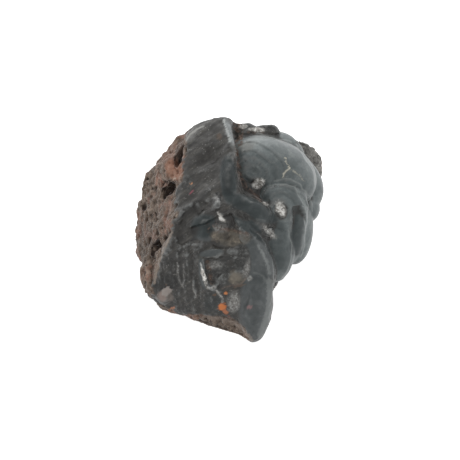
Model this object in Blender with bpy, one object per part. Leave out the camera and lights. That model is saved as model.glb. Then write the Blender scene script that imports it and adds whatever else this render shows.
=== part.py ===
"""A hand specimen of kidney ore: blue-grey rounded lobes of hematite on a broken brown matrix.

The stone is one solid. It is shaped as it is looked at, with x to the right, y up the viewed face
and z out of it, and is then tipped back to the way it rests. All lengths are in millimetres until
a shape is made, and the finished stone is in metres, with its flat underside on z = 0.
"""

import math
from typing import NamedTuple

import bmesh
import bpy
from mathutils import Euler, Matrix, Vector, noise

NAME = "hematite_specimen"
MM = 0.001

# The viewed face leans back from upright, and its middle is this far above the ground.
FACE_LEAN = math.radians(40.0)
FACE_HEIGHT = 19.5

# The mesh is fused on a fine grid, rounded a little and thinned for the checks.
GRID = 0.6
CORE_ROUNDING = 10
SKIN_ROUNDING = 2
TRIANGLES = 8200

# The broken mass is uneven by this much, over lumps of about this width.
UNEVENNESS = 0.9
UNEVEN_WIDTH = 6.5

HEMATITE_GREY = (0.085, 0.088, 0.088, 1.0)
HEMATITE_ROUGHNESS = 0.42
HEMATITE_METALLIC = 0.25


class Lump(NamedTuple):
    """An ellipsoid: its centre, its three radii and its turn in degrees about x, y and z."""

    centre: tuple[float, float, float]
    radii: tuple[float, float, float]
    turn: tuple[float, float, float] = (0.0, 0.0, 0.0)


class Rope(NamedTuple):
    """A round ridge or channel through a few points."""

    points: tuple[tuple[float, float, float], ...]
    radius: float


class Rings(NamedTuple):
    """Growth rings that step down towards a hollow in a lobe."""

    centre: tuple[float, float]
    radii: tuple[float, ...]
    drop: float
    width: float = 0.6


def resting(x: float, y: float, z: float) -> tuple[float, float, float]:
    """Gives a place on the resting stone in the coordinates that it is shaped in.

    Args:
        x: Distance to the right of the middle.
        y: Distance behind the middle.
        z: Height above the ground.

    Returns:
        The same place as right, up the face and out of it.
    """
    up = z - FACE_HEIGHT
    cos, sin = math.cos(FACE_LEAN), math.sin(FACE_LEAN)
    return (x, y * cos + up * sin, up * cos - y * sin)


BELOW_GROUND = -1.5

# The broken mass of the stone: the plate with the crust on its left and the ridge on its right.
PLATE = (
    (-5, 34.3, 1.5), (-2.5, 34.4, 2.3), (0, 34, 0.8), (-9.5, 31, 1), (-12, 29.4, 0.5),
    (-14, 23.5, 4.5), (-14.5, 16, 7.5), (-16.5, 1.5, 9.3), (-20, -8, 7.5), (-24, -18.3, 1.5),
    (-19, -22.5, 0), (-12, -25.2, 1), (0, -27.2, 4), (6, -30.8, 3), (0, 24, 9), (1, 14.5, 12),
    (-1, 6.8, 13.8), (6, -2, 12), (7.5, -15.5, 10.5), (-7.5, -6, 12.5), (-7.5, -18, 8.5),
    (-15.6, 29, -4), (-20, 24.6, -6), (-23.4, 19.4, -8), (-25.8, 16, -9), (-28.2, 10.6, -10),
    (-29.8, 7.8, -11), (-30.2, 4, -12), (-29.8, -3, -12), (-29, -9.5, -11), (-27.6, -15, -10),
    (-27, -19.5, -8), (-21.5, -23.5, -5), (-10.5, -27, -3), (-4.2, -29.3, -1.5), (5, -33.2, -0.5),
    (3.5, 32, -6), (5, 20, -6), (8, 5, -6), (10, -10, -4), (9, -24, -3),
    resting(-6, 24, 36), resting(-14, 22, 33), resting(-20, 22, 22), resting(-24, 22, 8),
    resting(8, 23, 20), resting(-22, 18, BELOW_GROUND), resting(-25, 8, BELOW_GROUND),
    resting(-25, -2, BELOW_GROUND), resting(-21.5, -10, BELOW_GROUND),
    resting(-15, -15.5, BELOW_GROUND), resting(-4, -20.5, BELOW_GROUND),
    resting(7, -21, BELOW_GROUND), resting(10, -6, BELOW_GROUND), resting(8, 18, BELOW_GROUND),
)

# What the lobes grew on, right of the ridge.
SLAB = (
    (2, 30.4, 0), (13.5, 28.2, -4), (18.5, 24.6, -7), (22.5, 19, -9), (23.5, 6, -10), (20, -6, -10),
    (12, -15, -7), (3, 24, 4), (4, 10, 7), (8, 0, 7), (9, -10, 5), (18, 15, 1), (16, 2, 2),
    resting(12, 23, 30), resting(21, 22, 20), resting(22, 21, 8), resting(-5, 22, 20),
    resting(20, 18, BELOW_GROUND), resting(19.5, 11, BELOW_GROUND), resting(11, -4, BELOW_GROUND),
    resting(8, -19, BELOW_GROUND), resting(-5, 18, BELOW_GROUND),
)

# The rough block that shows behind the big lobe, and the rough ledge above it.
KNOB = (
    (21, 26, -9), (26.3, 24.6, -11), (29.6, 21.9, -12), (29, 19.2, -13), (28.2, 17, -13),
    (21, 12, -10),
    (20, 26.5, -18), (26.5, 23.5, -19), (27, 15, -18), resting(25.5, 19, 9), resting(22, 22, 4),
    resting(14, 26, 6), resting(6, 27.5, 12), resting(4, 26.5, 24), resting(14, 27, 20),
    resting(16, 17, BELOW_GROUND), resting(8, 22, BELOW_GROUND),
)
LEDGE = (
    (2, 32, -0.5), (4, 30.6, -0.5), (11, 30.4, -2.5), (12.8, 32, -3), (15, 30, -3.5),
    (3, 28.5, 1.5), (12, 27, -1), (3, 29, -9), (14, 27.5, -10),
)

# Swellings that melt into the mass.
SWELLINGS = (
    Lump((8.7, -6.9, 5.9), (4.4, 9.4, 7.6), (0, 0, 17)),
    Lump((7.7, -21.6, 3.6), (4.6, 12, 7.6), (10, 0, -2)),
    Lump((5.9, 7.1, 8.2), (7.6, 3, 5), (0, 14, -25)),
    Lump((13.2, 2.7, 4), (5.6, 2.6, 4.2), (0, 20, -4)),
    Lump((-0.6, 15.1, 8.6), (2.5, 6.6, 5.2), (0, 0, 3)),
    Lump((-5, 10.9, 9.4), (3.2, 2.4, 3), (0, 0, 20)),
    Lump((-17.5, 19, 0.5), (2.6, 4, 3), (0, 0, -10)),
    Lump((-24, -14, -2), (3.2, 5, 4), (0, 0, 8)),
)
RIDGES = (
    Rope(((-8.2, -8.2, 11.6), (-8, -12.6, 11.6), (-6.9, -15.8, 11), (-4.4, -17.6, 10.6)), 1),
    Rope(((-1.8, 7, 14), (-7, 4.7, 13.2), (-11.7, 1.8, 11.6), (-16.2, -2.9, 9.4)), 1.3),
    Rope(((-1.8, 7, 14), (1.8, 3.5, 13.8), (5.2, 0.6, 13.2), (7.9, -2.6, 12)), 1.4),
    Rope(((-18, -5.3, 7.8), (-11.7, -5, 10.6), (-5.3, -5.9, 12), (1.2, -6.7, 11.8)), 1.3),
    Rope(((-5.3, -12.6, 9.8), (-1.5, -11.1, 10.8), (2.9, -10.5, 11.2)), 1.1),
    Rope(((-17, 1.8, 8.8), (-12, 5.9, 10.4), (-7, 8.5, 11.4)), 1.1),
    Rope(((-2.1, 33.2, 1.6), (-0.3, 27, 6.2), (0.6, 20.9, 9.2)), 1),
)

# Hollows where the surface broke, pits in the crust and broad scars on the unseen side.
HOLLOWS = (
    Lump((-2.6, 0.3, 15.5), (5.4, 4.6, 5.6), (0, 0, 30)),
    Lump((-9, -0.6, 15), (4.8, 3.4, 4.2), (0, 0, 25)),
    Lump((-1.2, -12.5, 15), (5.6, 4.8, 5.4), (0, 0, -6)),
    Lump((-5.7, -12.9, 11.5), (1.3, 4, 4.5), (0, 0, 12)),
    Lump((1.7, -20.6, 14.6), (4.2, 4, 5.6)),
    Lump((-13.3, -13.6, 15.5), (4.5, 6, 6), (0, 0, 8)),
    Lump((-6.7, 23, 14.5), (6.5, 6.5, 7.5), (0, 0, 30)),
    Lump((-11.1, 5.8, 13), (2.6, 0.8, 1.8), (0, 0, 32)),
    Lump((-14.6, -1.2, 11.8), (3.2, 1.2, 2.2), (0, 0, 45)),
)
PITS = (
    Lump((-14.6, 22, 2.4), (1.5, 3, 4.5), (0, 0, -12)),
    Lump((-18.2, 11.7, 1.2), (3.2, 1.5, 4.5), (0, 0, 45)),
    Lump((-23.6, 0, -4), (1.1, 3.8, 3.6), (0, 0, 8)),
    Lump((-21.8, -5.1, 0.8), (2.4, 1.7, 4.2)),
    Lump((-26.1, 6.4, -7), (1.2, 1.5, 3)),
)
SCARS = (
    Lump(resting(-15, 40, 22), (17, 19, 14), (0, 12, 20)),
    Lump(resting(-30, 30, 6), (13, 15, 12), (0, 0, -30)),
    Lump(resting(0, 42, 7), (14, 17, 10), (10, 0, 0)),
    Lump(resting(-2, 40, 36), (12, 16, 12), (0, -20, 0)),
    Lump(resting(-42, 14, 15), (14, 10, 13), (0, 0, 15)),
    Lump(resting(-36, -4, 0), (11, 9, 10)),
    Lump(resting(20, 36, 16), (9, 12, 8), (0, 20, 0)),
)
SEAM = Rope(((1.2, 33, 3), (2, 26, 6.2), (2.7, 18, 8.6), (3.9, 13.5, 9.6), (6.8, 10.6, 9.8),
             (10, 8, 9.2)), 1.5)

# The lobes of kidney ore, with the rings and pits of the two that are hollowed on their left.
DOME = (
    Lump((16, 17.2, -3.5), (10.2, 11.2, 11.6), (0, 8, 0)),
    Lump((9.6, 20.8, -1), (7.6, 8.2, 8.8), (0, 0, 14)),
)
DOME_RINGS = Rings((6.9, 14.7), (9.3, 5.7), 1.0)
DOME_PIT = Lump((6.2, 14.7, 8.6), (3, 3.8, 4.4), (0, 0, 10))
EYE = (Lump((16.2, 6.9, 0.6), (7.9, 9.1, 9.4), (0, 0, 6)),)
EYE_RINGS = Rings((12.6, 7.5), (7.5, 4.5), 0.8)
EYE_PIT = Lump((11.7, 7.3, 10), (3.2, 1.9, 3.6), (0, 0, -15))
LOBES = (
    Lump((17.1, 15.6, -8.5), (11, 12.5, 8.5), (0, 0, 3)),
    Lump((22.6, 6.7, -8), (4.4, 4.6, 6)),
    Lump((19.9, -1.2, -2.2), (3.2, 8.6, 7.2), (0, 0, -3)),
    Lump((20.2, -0.9, -6.5), (4.8, 9.4, 8)),
    Lump((14.1, -6, -0.6), (5.2, 9.2, 8.8), (0, 0, -8)),
    Lump((13.9, -6.7, -5), (4.9, 9, 7), (0, 0, -10)),
    Lump(resting(14.5, 4, 9), (6, 7, 7)),
    Lump(resting(19.5, 10, 9), (5, 7, 7)),
    Lump(resting(20, 14, 15), (6, 6.5, 6.5)),
    Lump(resting(14, 19, 9), (7, 7, 7)),
    Lump(resting(12, 21.5, 22), (7, 7, 8)),
    Lump(resting(5, 25, 27), (5.5, 5.5, 5.5)),
)
BUMPS = (
    Lump((-0.6, -2.4, 6.6), (6, 2.6, 3.6), (0, 0, -8)),
    Lump((1.8, -13.9, 6.4), (3.2, 2.2, 3.2), (0, 0, 10)),
    Lump((-19.5, -19.2, 1), (2.6, 2.6, 2.6)),
)


def clear_scene() -> None:
    """Removes every object of the open scene."""
    for obj in list(bpy.data.objects):
        bpy.data.objects.remove(obj, do_unlink=True)


def add_block(bm: bmesh.types.BMesh, corners: tuple[tuple[float, float, float], ...]) -> None:
    """Adds the convex block that a few corners span.

    Args:
        bm: The mesh that it is added to.
        corners: The corners, in millimetres.
    """
    verts = [bm.verts.new(Vector(corner) * MM) for corner in corners]
    hull = bmesh.ops.convex_hull(bm, input=verts)
    inside = [part for part in hull["geom_interior"] if isinstance(part, bmesh.types.BMVert)]
    bmesh.ops.delete(bm, geom=inside, context="VERTS")


def add_lump(bm: bmesh.types.BMesh, lump: Lump, rings: Rings | None = None) -> None:
    """Adds an ellipsoid, with its growth rings if it has any.

    Args:
        bm: The mesh that it is added to.
        lump: The ellipsoid.
        rings: The rings that step its surface down, in the plane of the viewed face.
    """
    turn = Euler([math.radians(angle) for angle in lump.turn]).to_matrix().to_4x4()
    radii = Matrix.Diagonal((*lump.radii, 1.0))
    place = Matrix.Translation(lump.centre) @ turn @ radii
    ball = bmesh.ops.create_icosphere(bm, subdivisions=4, radius=1.0, matrix=place)
    for vert in ball["verts"]:
        if rings and vert.co.z > lump.centre[2]:
            vert.co.z -= ring_drop(vert.co, rings)
        vert.co *= MM


def ring_drop(point: Vector, rings: Rings) -> float:
    """Says how far the growth rings lower a point.

    Args:
        point: The point, in millimetres.
        rings: The rings.

    Returns:
        The drop in millimetres.
    """
    reach = math.hypot(point.x - rings.centre[0], point.y - rings.centre[1])
    steps = (min(max((radius - reach) / rings.width + 0.5, 0.0), 1.0) for radius in rings.radii)
    return rings.drop * sum(steps)


def add_rope(bm: bmesh.types.BMesh, rope: Rope) -> None:
    """Adds a round ridge as a chain of rods with round joints.

    Args:
        bm: The mesh that it is added to.
        rope: The ridge.
    """
    points = [Vector(point) * MM for point in rope.points]
    radius = rope.radius * MM
    for start, end in zip(points, points[1:]):
        along = end - start
        place = Matrix.Translation((start + end) / 2) @ along.to_track_quat("Z", "Y").to_matrix().to_4x4()
        bmesh.ops.create_cone(bm, cap_ends=True, segments=16, radius1=radius, radius2=radius,
                              depth=along.length, matrix=place)
    for point in points:
        bmesh.ops.create_icosphere(bm, subdivisions=2, radius=radius,
                                   matrix=Matrix.Translation(point))


def new_object(name: str, bm: bmesh.types.BMesh) -> bpy.types.Object:
    """Puts a mesh into the scene.

    Args:
        name: The object's name.
        bm: Its mesh, which is freed.

    Returns:
        The object.
    """
    mesh = bpy.data.meshes.new(name)
    bm.to_mesh(mesh)
    bm.free()
    obj = bpy.data.objects.new(name, mesh)
    bpy.context.collection.objects.link(obj)
    return obj


def settle(obj: bpy.types.Object) -> None:
    """Turns an object's modifiers into plain mesh.

    Args:
        obj: The object.
    """
    graph = bpy.context.evaluated_depsgraph_get()
    mesh = bpy.data.meshes.new_from_object(obj.evaluated_get(graph))
    obj.modifiers.clear()
    obj.data = mesh


def fuse(obj: bpy.types.Object, rounding: int) -> None:
    """Makes one skin of the overlapping shapes in an object and rounds it.

    Args:
        obj: The object.
        rounding: How often the skin is smoothed.
    """
    remesh = obj.modifiers.new("fuse", "REMESH")
    remesh.mode = "VOXEL"
    remesh.voxel_size = GRID * MM
    smooth = obj.modifiers.new("round", "SMOOTH")
    smooth.factor = 0.5
    smooth.iterations = rounding
    settle(obj)


def carve(obj: bpy.types.Object, cutter: bpy.types.Object) -> None:
    """Cuts one object out of another and removes the cutter.

    Args:
        obj: The object that is cut.
        cutter: What is taken away.
    """
    cut = obj.modifiers.new("carve", "BOOLEAN")
    cut.operation = "DIFFERENCE"
    cut.solver = "EXACT"
    cut.object = cutter
    settle(obj)
    bpy.data.objects.remove(cutter, do_unlink=True)


def cutter_from(bm: bmesh.types.BMesh) -> bpy.types.Object:
    """Makes one closed cutter of overlapping shapes.

    Args:
        bm: The shapes, which are freed.

    Returns:
        The cutter.
    """
    cutter = new_object("cutter", bm)
    cutter.hide_render = True
    cutter.display_type = "WIRE"
    fuse(cutter, 1)
    return cutter


def make_uneven(obj: bpy.types.Object) -> None:
    """Moves the skin in and out in broad irregular lumps, as a broken stone is.

    Args:
        obj: The object.
    """
    bm = bmesh.new()
    bm.from_mesh(obj.data)
    bm.normal_update()
    moves = [noise.fractal(vert.co / (UNEVEN_WIDTH * MM), 0.8, 2.1, 3) for vert in bm.verts]
    for vert, move in zip(bm.verts, moves):
        vert.co += vert.normal * (move * UNEVENNESS * MM)
    bm.to_mesh(obj.data)
    bm.free()


def make_core() -> bpy.types.Object:
    """Makes the broken mass of the stone with its swellings, ridges, hollows and pits.

    Returns:
        The core, without the lobes.
    """
    bm = bmesh.new()
    for corners in (PLATE, SLAB, KNOB, LEDGE):
        add_block(bm, corners)
    for lump in SWELLINGS:
        add_lump(bm, lump)
    for rope in RIDGES:
        add_rope(bm, rope)
    core = new_object(NAME, bm)
    fuse(core, CORE_ROUNDING)
    make_uneven(core)
    hollows = bmesh.new()
    for lump in HOLLOWS + PITS + SCARS:
        add_lump(hollows, lump)
    carve(core, cutter_from(hollows))
    return core


def ringed_lobe(lumps: tuple[Lump, ...], rings: Rings, pit: Lump) -> bmesh.types.BMesh:
    """Makes a lobe whose growth rings step down to a pit.

    Args:
        lumps: The lobe's ellipsoids.
        rings: Its rings.
        pit: The pit.

    Returns:
        The lobe's mesh.
    """
    bm = bmesh.new()
    for lump in lumps:
        add_lump(bm, lump, rings)
    lobe = new_object("lobe", bm)
    fuse(lobe, 2)
    hole = bmesh.new()
    add_lump(hole, pit)
    carve(lobe, cutter_from(hole))
    shaped = bmesh.new()
    shaped.from_mesh(lobe.data)
    bpy.data.objects.remove(lobe, do_unlink=True)
    return shaped


def add_lobes(core: bpy.types.Object) -> None:
    """Grows the lobes and bumps on the core and cuts the seam between the ridge and the lobes.

    Args:
        core: The core, which becomes the whole stone.
    """
    bm = bmesh.new()
    bm.from_mesh(core.data)
    for lobe in (ringed_lobe(DOME, DOME_RINGS, DOME_PIT), ringed_lobe(EYE, EYE_RINGS, EYE_PIT)):
        shape = bpy.data.meshes.new("lobe")
        lobe.to_mesh(shape)
        lobe.free()
        bm.from_mesh(shape)
    for lump in LOBES + BUMPS:
        add_lump(bm, lump)
    bm.to_mesh(core.data)
    bm.free()
    fuse(core, 1)
    seam = bmesh.new()
    add_rope(seam, SEAM)
    carve(core, cutter_from(seam))
    fuse(core, SKIN_ROUNDING)


def thin_out(stone: bpy.types.Object) -> None:
    """Reduces the skin to the number of triangles that the checks need.

    Args:
        stone: The stone.
    """
    faces = sum(len(face.vertices) - 2 for face in stone.data.polygons)
    decimate = stone.modifiers.new("thin", "DECIMATE")
    decimate.ratio = TRIANGLES / faces
    settle(stone)


def stand_up(stone: bpy.types.Object) -> None:
    """Tips the stone to the way it rests, cuts its underside flat and centres it over the origin.

    Args:
        stone: The stone.
    """
    tip = Matrix.Rotation(FACE_LEAN, 4, "X")
    stone.data.transform(Matrix.Translation((0, 0, FACE_HEIGHT * MM)) @ tip)
    bm = bmesh.new()
    bm.from_mesh(stone.data)
    whole = [*bm.verts, *bm.edges, *bm.faces]
    cut = bmesh.ops.bisect_plane(bm, geom=whole, plane_co=(0, 0, 0), plane_no=(0, 0, 1),
                                 clear_inner=True)
    rim = [part for part in cut["geom_cut"] if isinstance(part, bmesh.types.BMEdge)]
    bmesh.ops.contextual_create(bm, geom=rim)
    bmesh.ops.triangulate(bm, faces=bm.faces)
    bmesh.ops.recalc_face_normals(bm, faces=bm.faces)
    bm.to_mesh(stone.data)
    bm.free()
    corners = [vert.co for vert in stone.data.vertices]
    middle = [(min(c[axis] for c in corners) + max(c[axis] for c in corners)) / 2 for axis in (0, 1)]
    stone.data.transform(Matrix.Translation((-middle[0], -middle[1], 0)))


def finish(stone: bpy.types.Object) -> None:
    """Gives the stone its plain material and smooth shading.

    Args:
        stone: The stone.
    """
    material = bpy.data.materials.new(NAME)
    material.use_nodes = True
    shader = material.node_tree.nodes["Principled BSDF"]
    shader.inputs["Base Color"].default_value = HEMATITE_GREY
    shader.inputs["Roughness"].default_value = HEMATITE_ROUGHNESS
    shader.inputs["Metallic"].default_value = HEMATITE_METALLIC
    stone.data.materials.clear()
    stone.data.materials.append(material)
    stone.data.shade_smooth()


def main() -> None:
    """Builds the stone."""
    clear_scene()
    stone = make_core()
    add_lobes(stone)
    thin_out(stone)
    stand_up(stone)
    finish(stone)


main()
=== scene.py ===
"""The looks of a kidney-ore hand specimen: satin grey lobes, a striated plate, a brown crust.

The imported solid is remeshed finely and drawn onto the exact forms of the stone, which are given in
millimetres as it is looked at: x to the right, y up the viewed face and z out of it. Each region is
then broken, pitted or grooved in its own way, and one material finishes them all by masks.
"""

import logging
import math
import random
from collections.abc import Iterable
from dataclasses import dataclass
from enum import Enum
from functools import cached_property

import bmesh
import bpy
import numpy as np
from mathutils import Euler, Matrix, Vector, kdtree, noise


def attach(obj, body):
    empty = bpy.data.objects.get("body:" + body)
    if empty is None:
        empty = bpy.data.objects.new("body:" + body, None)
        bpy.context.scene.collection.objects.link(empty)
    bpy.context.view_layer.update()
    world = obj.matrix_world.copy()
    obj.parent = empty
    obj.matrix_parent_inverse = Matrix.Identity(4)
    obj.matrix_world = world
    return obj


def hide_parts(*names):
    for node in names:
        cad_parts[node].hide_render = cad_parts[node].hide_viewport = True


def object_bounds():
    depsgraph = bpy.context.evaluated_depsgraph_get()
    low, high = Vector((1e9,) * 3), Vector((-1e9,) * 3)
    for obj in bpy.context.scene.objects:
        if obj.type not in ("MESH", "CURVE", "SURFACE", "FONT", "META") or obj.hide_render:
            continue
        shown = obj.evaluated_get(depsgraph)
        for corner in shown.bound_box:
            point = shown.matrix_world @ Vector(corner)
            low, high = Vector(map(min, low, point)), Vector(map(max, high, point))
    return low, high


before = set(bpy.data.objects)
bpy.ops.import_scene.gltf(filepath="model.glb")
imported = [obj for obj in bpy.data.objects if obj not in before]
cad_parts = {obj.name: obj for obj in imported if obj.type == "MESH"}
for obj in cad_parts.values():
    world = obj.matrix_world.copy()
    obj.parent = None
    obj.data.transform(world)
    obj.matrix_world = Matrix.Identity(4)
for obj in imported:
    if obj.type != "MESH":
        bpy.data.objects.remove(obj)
cad_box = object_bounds()

logger = logging.getLogger("hematite")

Place = tuple[float, float, float]
Spot = tuple[float, float]
Span = tuple[float, float]

NODE = "hematite_specimen"
MM = 0.001
SEED = 7

# How the stone rests: the lean of the viewed face and where its middle stands, in millimetres.
FACE_LEAN = math.radians(40.0)
FACE_MIDDLE = (0.36, -1.23, 19.5)
BELOW_GROUND = -1.5

# The photograph's distance, which the places on the face are read with.
EYE_DISTANCE = 460.0

# The way that a break faces to throw the overhead light at the viewer, half-way to straight up.
GLEAM = (0.0, math.sin(FACE_LEAN / 2), math.cos(FACE_LEAN / 2))


def resting(x: float, y: float, z: float) -> Place:
    """Gives a place on the resting stone in the coordinates that it is shaped in.

    Args:
        x: Distance to the right of the face's middle.
        y: Distance behind it.
        z: Height above the ground.

    Returns:
        The same place as right, up the face and out of it.
    """
    up = z - FACE_MIDDLE[2]
    cos, sin = math.cos(FACE_LEAN), math.sin(FACE_LEAN)
    return (x, y * cos + up * sin, up * cos - y * sin)


def footing(*spots: Spot) -> tuple[Place, ...]:
    """Gives corners just below the ground, by their places on the resting stone."""
    return tuple(resting(x, y, BELOW_GROUND) for x, y in spots)


def as_seen(points: np.ndarray) -> np.ndarray:
    """Gives the places of points on the face, as seen from the photograph's distance."""
    return points[:, :2] * (EYE_DISTANCE / (EYE_DISTANCE - points[:, 2]))[:, None]


def melt(first: np.ndarray, second: np.ndarray, reach: float) -> np.ndarray:
    """Joins two forms by their distances, with a crease that is soft over a reach."""
    bend = np.maximum(reach - np.abs(first - second), 0.0) / reach
    return np.minimum(first, second) - bend * bend * reach / 4


def cut(body: np.ndarray, cutter: np.ndarray, reach: float) -> np.ndarray:
    """Cuts one form out of another by their distances, with a rim that is soft over a reach."""
    return -melt(-body, cutter, reach)


def ramp(values: np.ndarray, low: float, high: float) -> np.ndarray:
    """Rises smoothly from 0 at low to 1 at high, or falls where high is below low."""
    share = np.clip((values - low) / (high - low), 0.0, 1.0)
    return share * share * (3.0 - 2.0 * share)


def strongest(masks: Iterable[np.ndarray]) -> np.ndarray:
    """Joins masks, of which the strongest counts at each point."""
    return np.maximum.reduce(list(masks))


def cloudy(points: np.ndarray, width: float) -> np.ndarray:
    """Gives plain noise about 0 at each point, in clouds of a width."""
    return np.array([noise.noise(Vector(point) / width) for point in points])


def ragged(points: np.ndarray, hardness: float, octaves: int) -> np.ndarray:
    """Gives fractal noise about 0 at points that are divided by its width already."""
    return np.array([noise.fractal(Vector(point), hardness, 2.1, octaves) for point in points])


@dataclass(frozen=True)
class Lump:
    """An ellipsoid, turned by degrees about x, y and z."""

    centre: Place
    radii: Place
    turn: Place = (0.0, 0.0, 0.0)

    def distance(self, points: np.ndarray) -> np.ndarray:
        """Measures how far points are from the skin.

        Args:
            points: The points.

        Returns:
            Distances, negative inside.
        """
        turn = np.array(Euler([math.radians(angle) for angle in self.turn]).to_matrix())
        local = (points - np.array(self.centre)) @ turn
        radii = np.array(self.radii)
        near = np.linalg.norm(local / radii, axis=1)
        steep = np.linalg.norm(local / radii ** 2, axis=1)
        return near * (near - 1.0) / np.maximum(steep, 1e-6)


@dataclass(frozen=True)
class Block:
    """The convex block that a few corners span."""

    corners: tuple[Place, ...]
    rounding: float = 0.7

    @cached_property
    def planes(self) -> list[tuple[np.ndarray, float]]:
        """The outward normal and the offset of each side."""
        bm = bmesh.new()
        verts = [bm.verts.new(corner) for corner in self.corners]
        bmesh.ops.convex_hull(bm, input=verts)
        bm.normal_update()
        sides = [(np.array(face.normal), face.normal.dot(face.verts[0].co)) for face in bm.faces]
        bm.free()
        return sides

    def distance(self, points: np.ndarray) -> np.ndarray:
        """Measures how far points are from the block.

        Args:
            points: The points.

        Returns:
            Distances, negative inside.
        """
        outside = np.full(len(points), -1e3)
        for normal, offset in self.planes:
            outside = -melt(-outside, offset - points @ normal, self.rounding)
        return outside


@dataclass(frozen=True)
class Rope:
    """A round ridge, channel or line through a few points, in space or on the face."""

    points: tuple[tuple[float, ...], ...]
    radius: float

    def distance(self, points: np.ndarray) -> np.ndarray:
        """Measures how far points are from the rope's skin.

        Args:
            points: The points, with as many coordinates as the rope's.

        Returns:
            Distances, negative inside.
        """
        nearest = np.full(len(points), 1e3)
        for start, end in zip(self.points, self.points[1:]):
            origin, along = np.array(start), np.array(end) - np.array(start)
            share = np.clip((points - origin) @ along / (along @ along), 0.0, 1.0)
            gap = np.linalg.norm(points - origin - share[:, None] * along, axis=1)
            nearest = np.minimum(nearest, gap)
        return nearest - self.radius


@dataclass(frozen=True)
class Break:
    """A flat break across a bump, which faces a given way."""

    centre: Place
    radius: float
    facing: Place

    def distance(self, points: np.ndarray) -> np.ndarray:
        """Measures how far points are from what has broken away.

        Args:
            points: The points.

        Returns:
            Distances, negative inside.
        """
        offset = points - np.array(self.centre)
        facing = np.array(self.facing) / np.linalg.norm(self.facing)
        return np.maximum(np.linalg.norm(offset, axis=1) - self.radius, -(offset @ facing))


@dataclass(frozen=True)
class Patch:
    """An oval on the viewed face, in which the surface differs."""

    centre: Spot
    radii: Spot
    turn: float = 0.0
    deepest: float = -30.0

    def mask(self, points: np.ndarray, seen: np.ndarray, fade: float = 0.35) -> np.ndarray:
        """Says how far points belong to the patch.

        Args:
            points: The points in space.
            seen: The same points as seen on the face.
            fade: The share of the radius over which the patch fades.

        Returns:
            1 inside, 0 outside.
        """
        angle = math.radians(self.turn)
        turn = np.array([[math.cos(angle), -math.sin(angle)], [math.sin(angle), math.cos(angle)]])
        local = (seen - np.array(self.centre)) @ turn / np.array(self.radii)
        inside = ramp(np.linalg.norm(local, axis=1), 1.0 + fade / 2, 1.0 - fade / 2)
        return inside * (points[:, 2] > self.deepest)


@dataclass(frozen=True)
class Kidney:
    """A lobe of kidney ore whose growth rings step down to a pit."""

    lumps: tuple[Lump, ...]
    ring_centre: Spot
    ring_radii: tuple[float, ...]
    ring_drop: float
    pits: tuple[Lump | Block, ...]
    ring_width: float = 0.5
    lump_melt: float = 2.0
    pit_rim: float = 1.0
    ring_wander: Spot = (0.35, 0.3)
    wander_pace: Spot = (0.75, 0.9)

    def rings(self, points: np.ndarray) -> np.ndarray:
        """Measures how far points are from the growth rings' middle, wandering as the rings do."""
        reach = np.linalg.norm(points[:, :2] - self.ring_centre, axis=1)
        return reach + np.sin(points[:, :2] * self.wander_pace + (0.0, 1.0)) @ self.ring_wander

    def distance(self, points: np.ndarray) -> np.ndarray:
        """Measures how far points are from the lobe.

        Args:
            points: The points.

        Returns:
            Distances, negative inside.
        """
        body = self.lumps[0].distance(points)
        for lump in self.lumps[1:]:
            body = melt(body, lump.distance(points), self.lump_melt)
        reach = self.rings(points)
        for radius in self.ring_radii:
            body = body + self.ring_drop * ramp(reach, radius + self.ring_width, radius)
        for pit in self.pits:
            body = cut(body, pit.distance(points), self.pit_rim)
        return body


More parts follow.
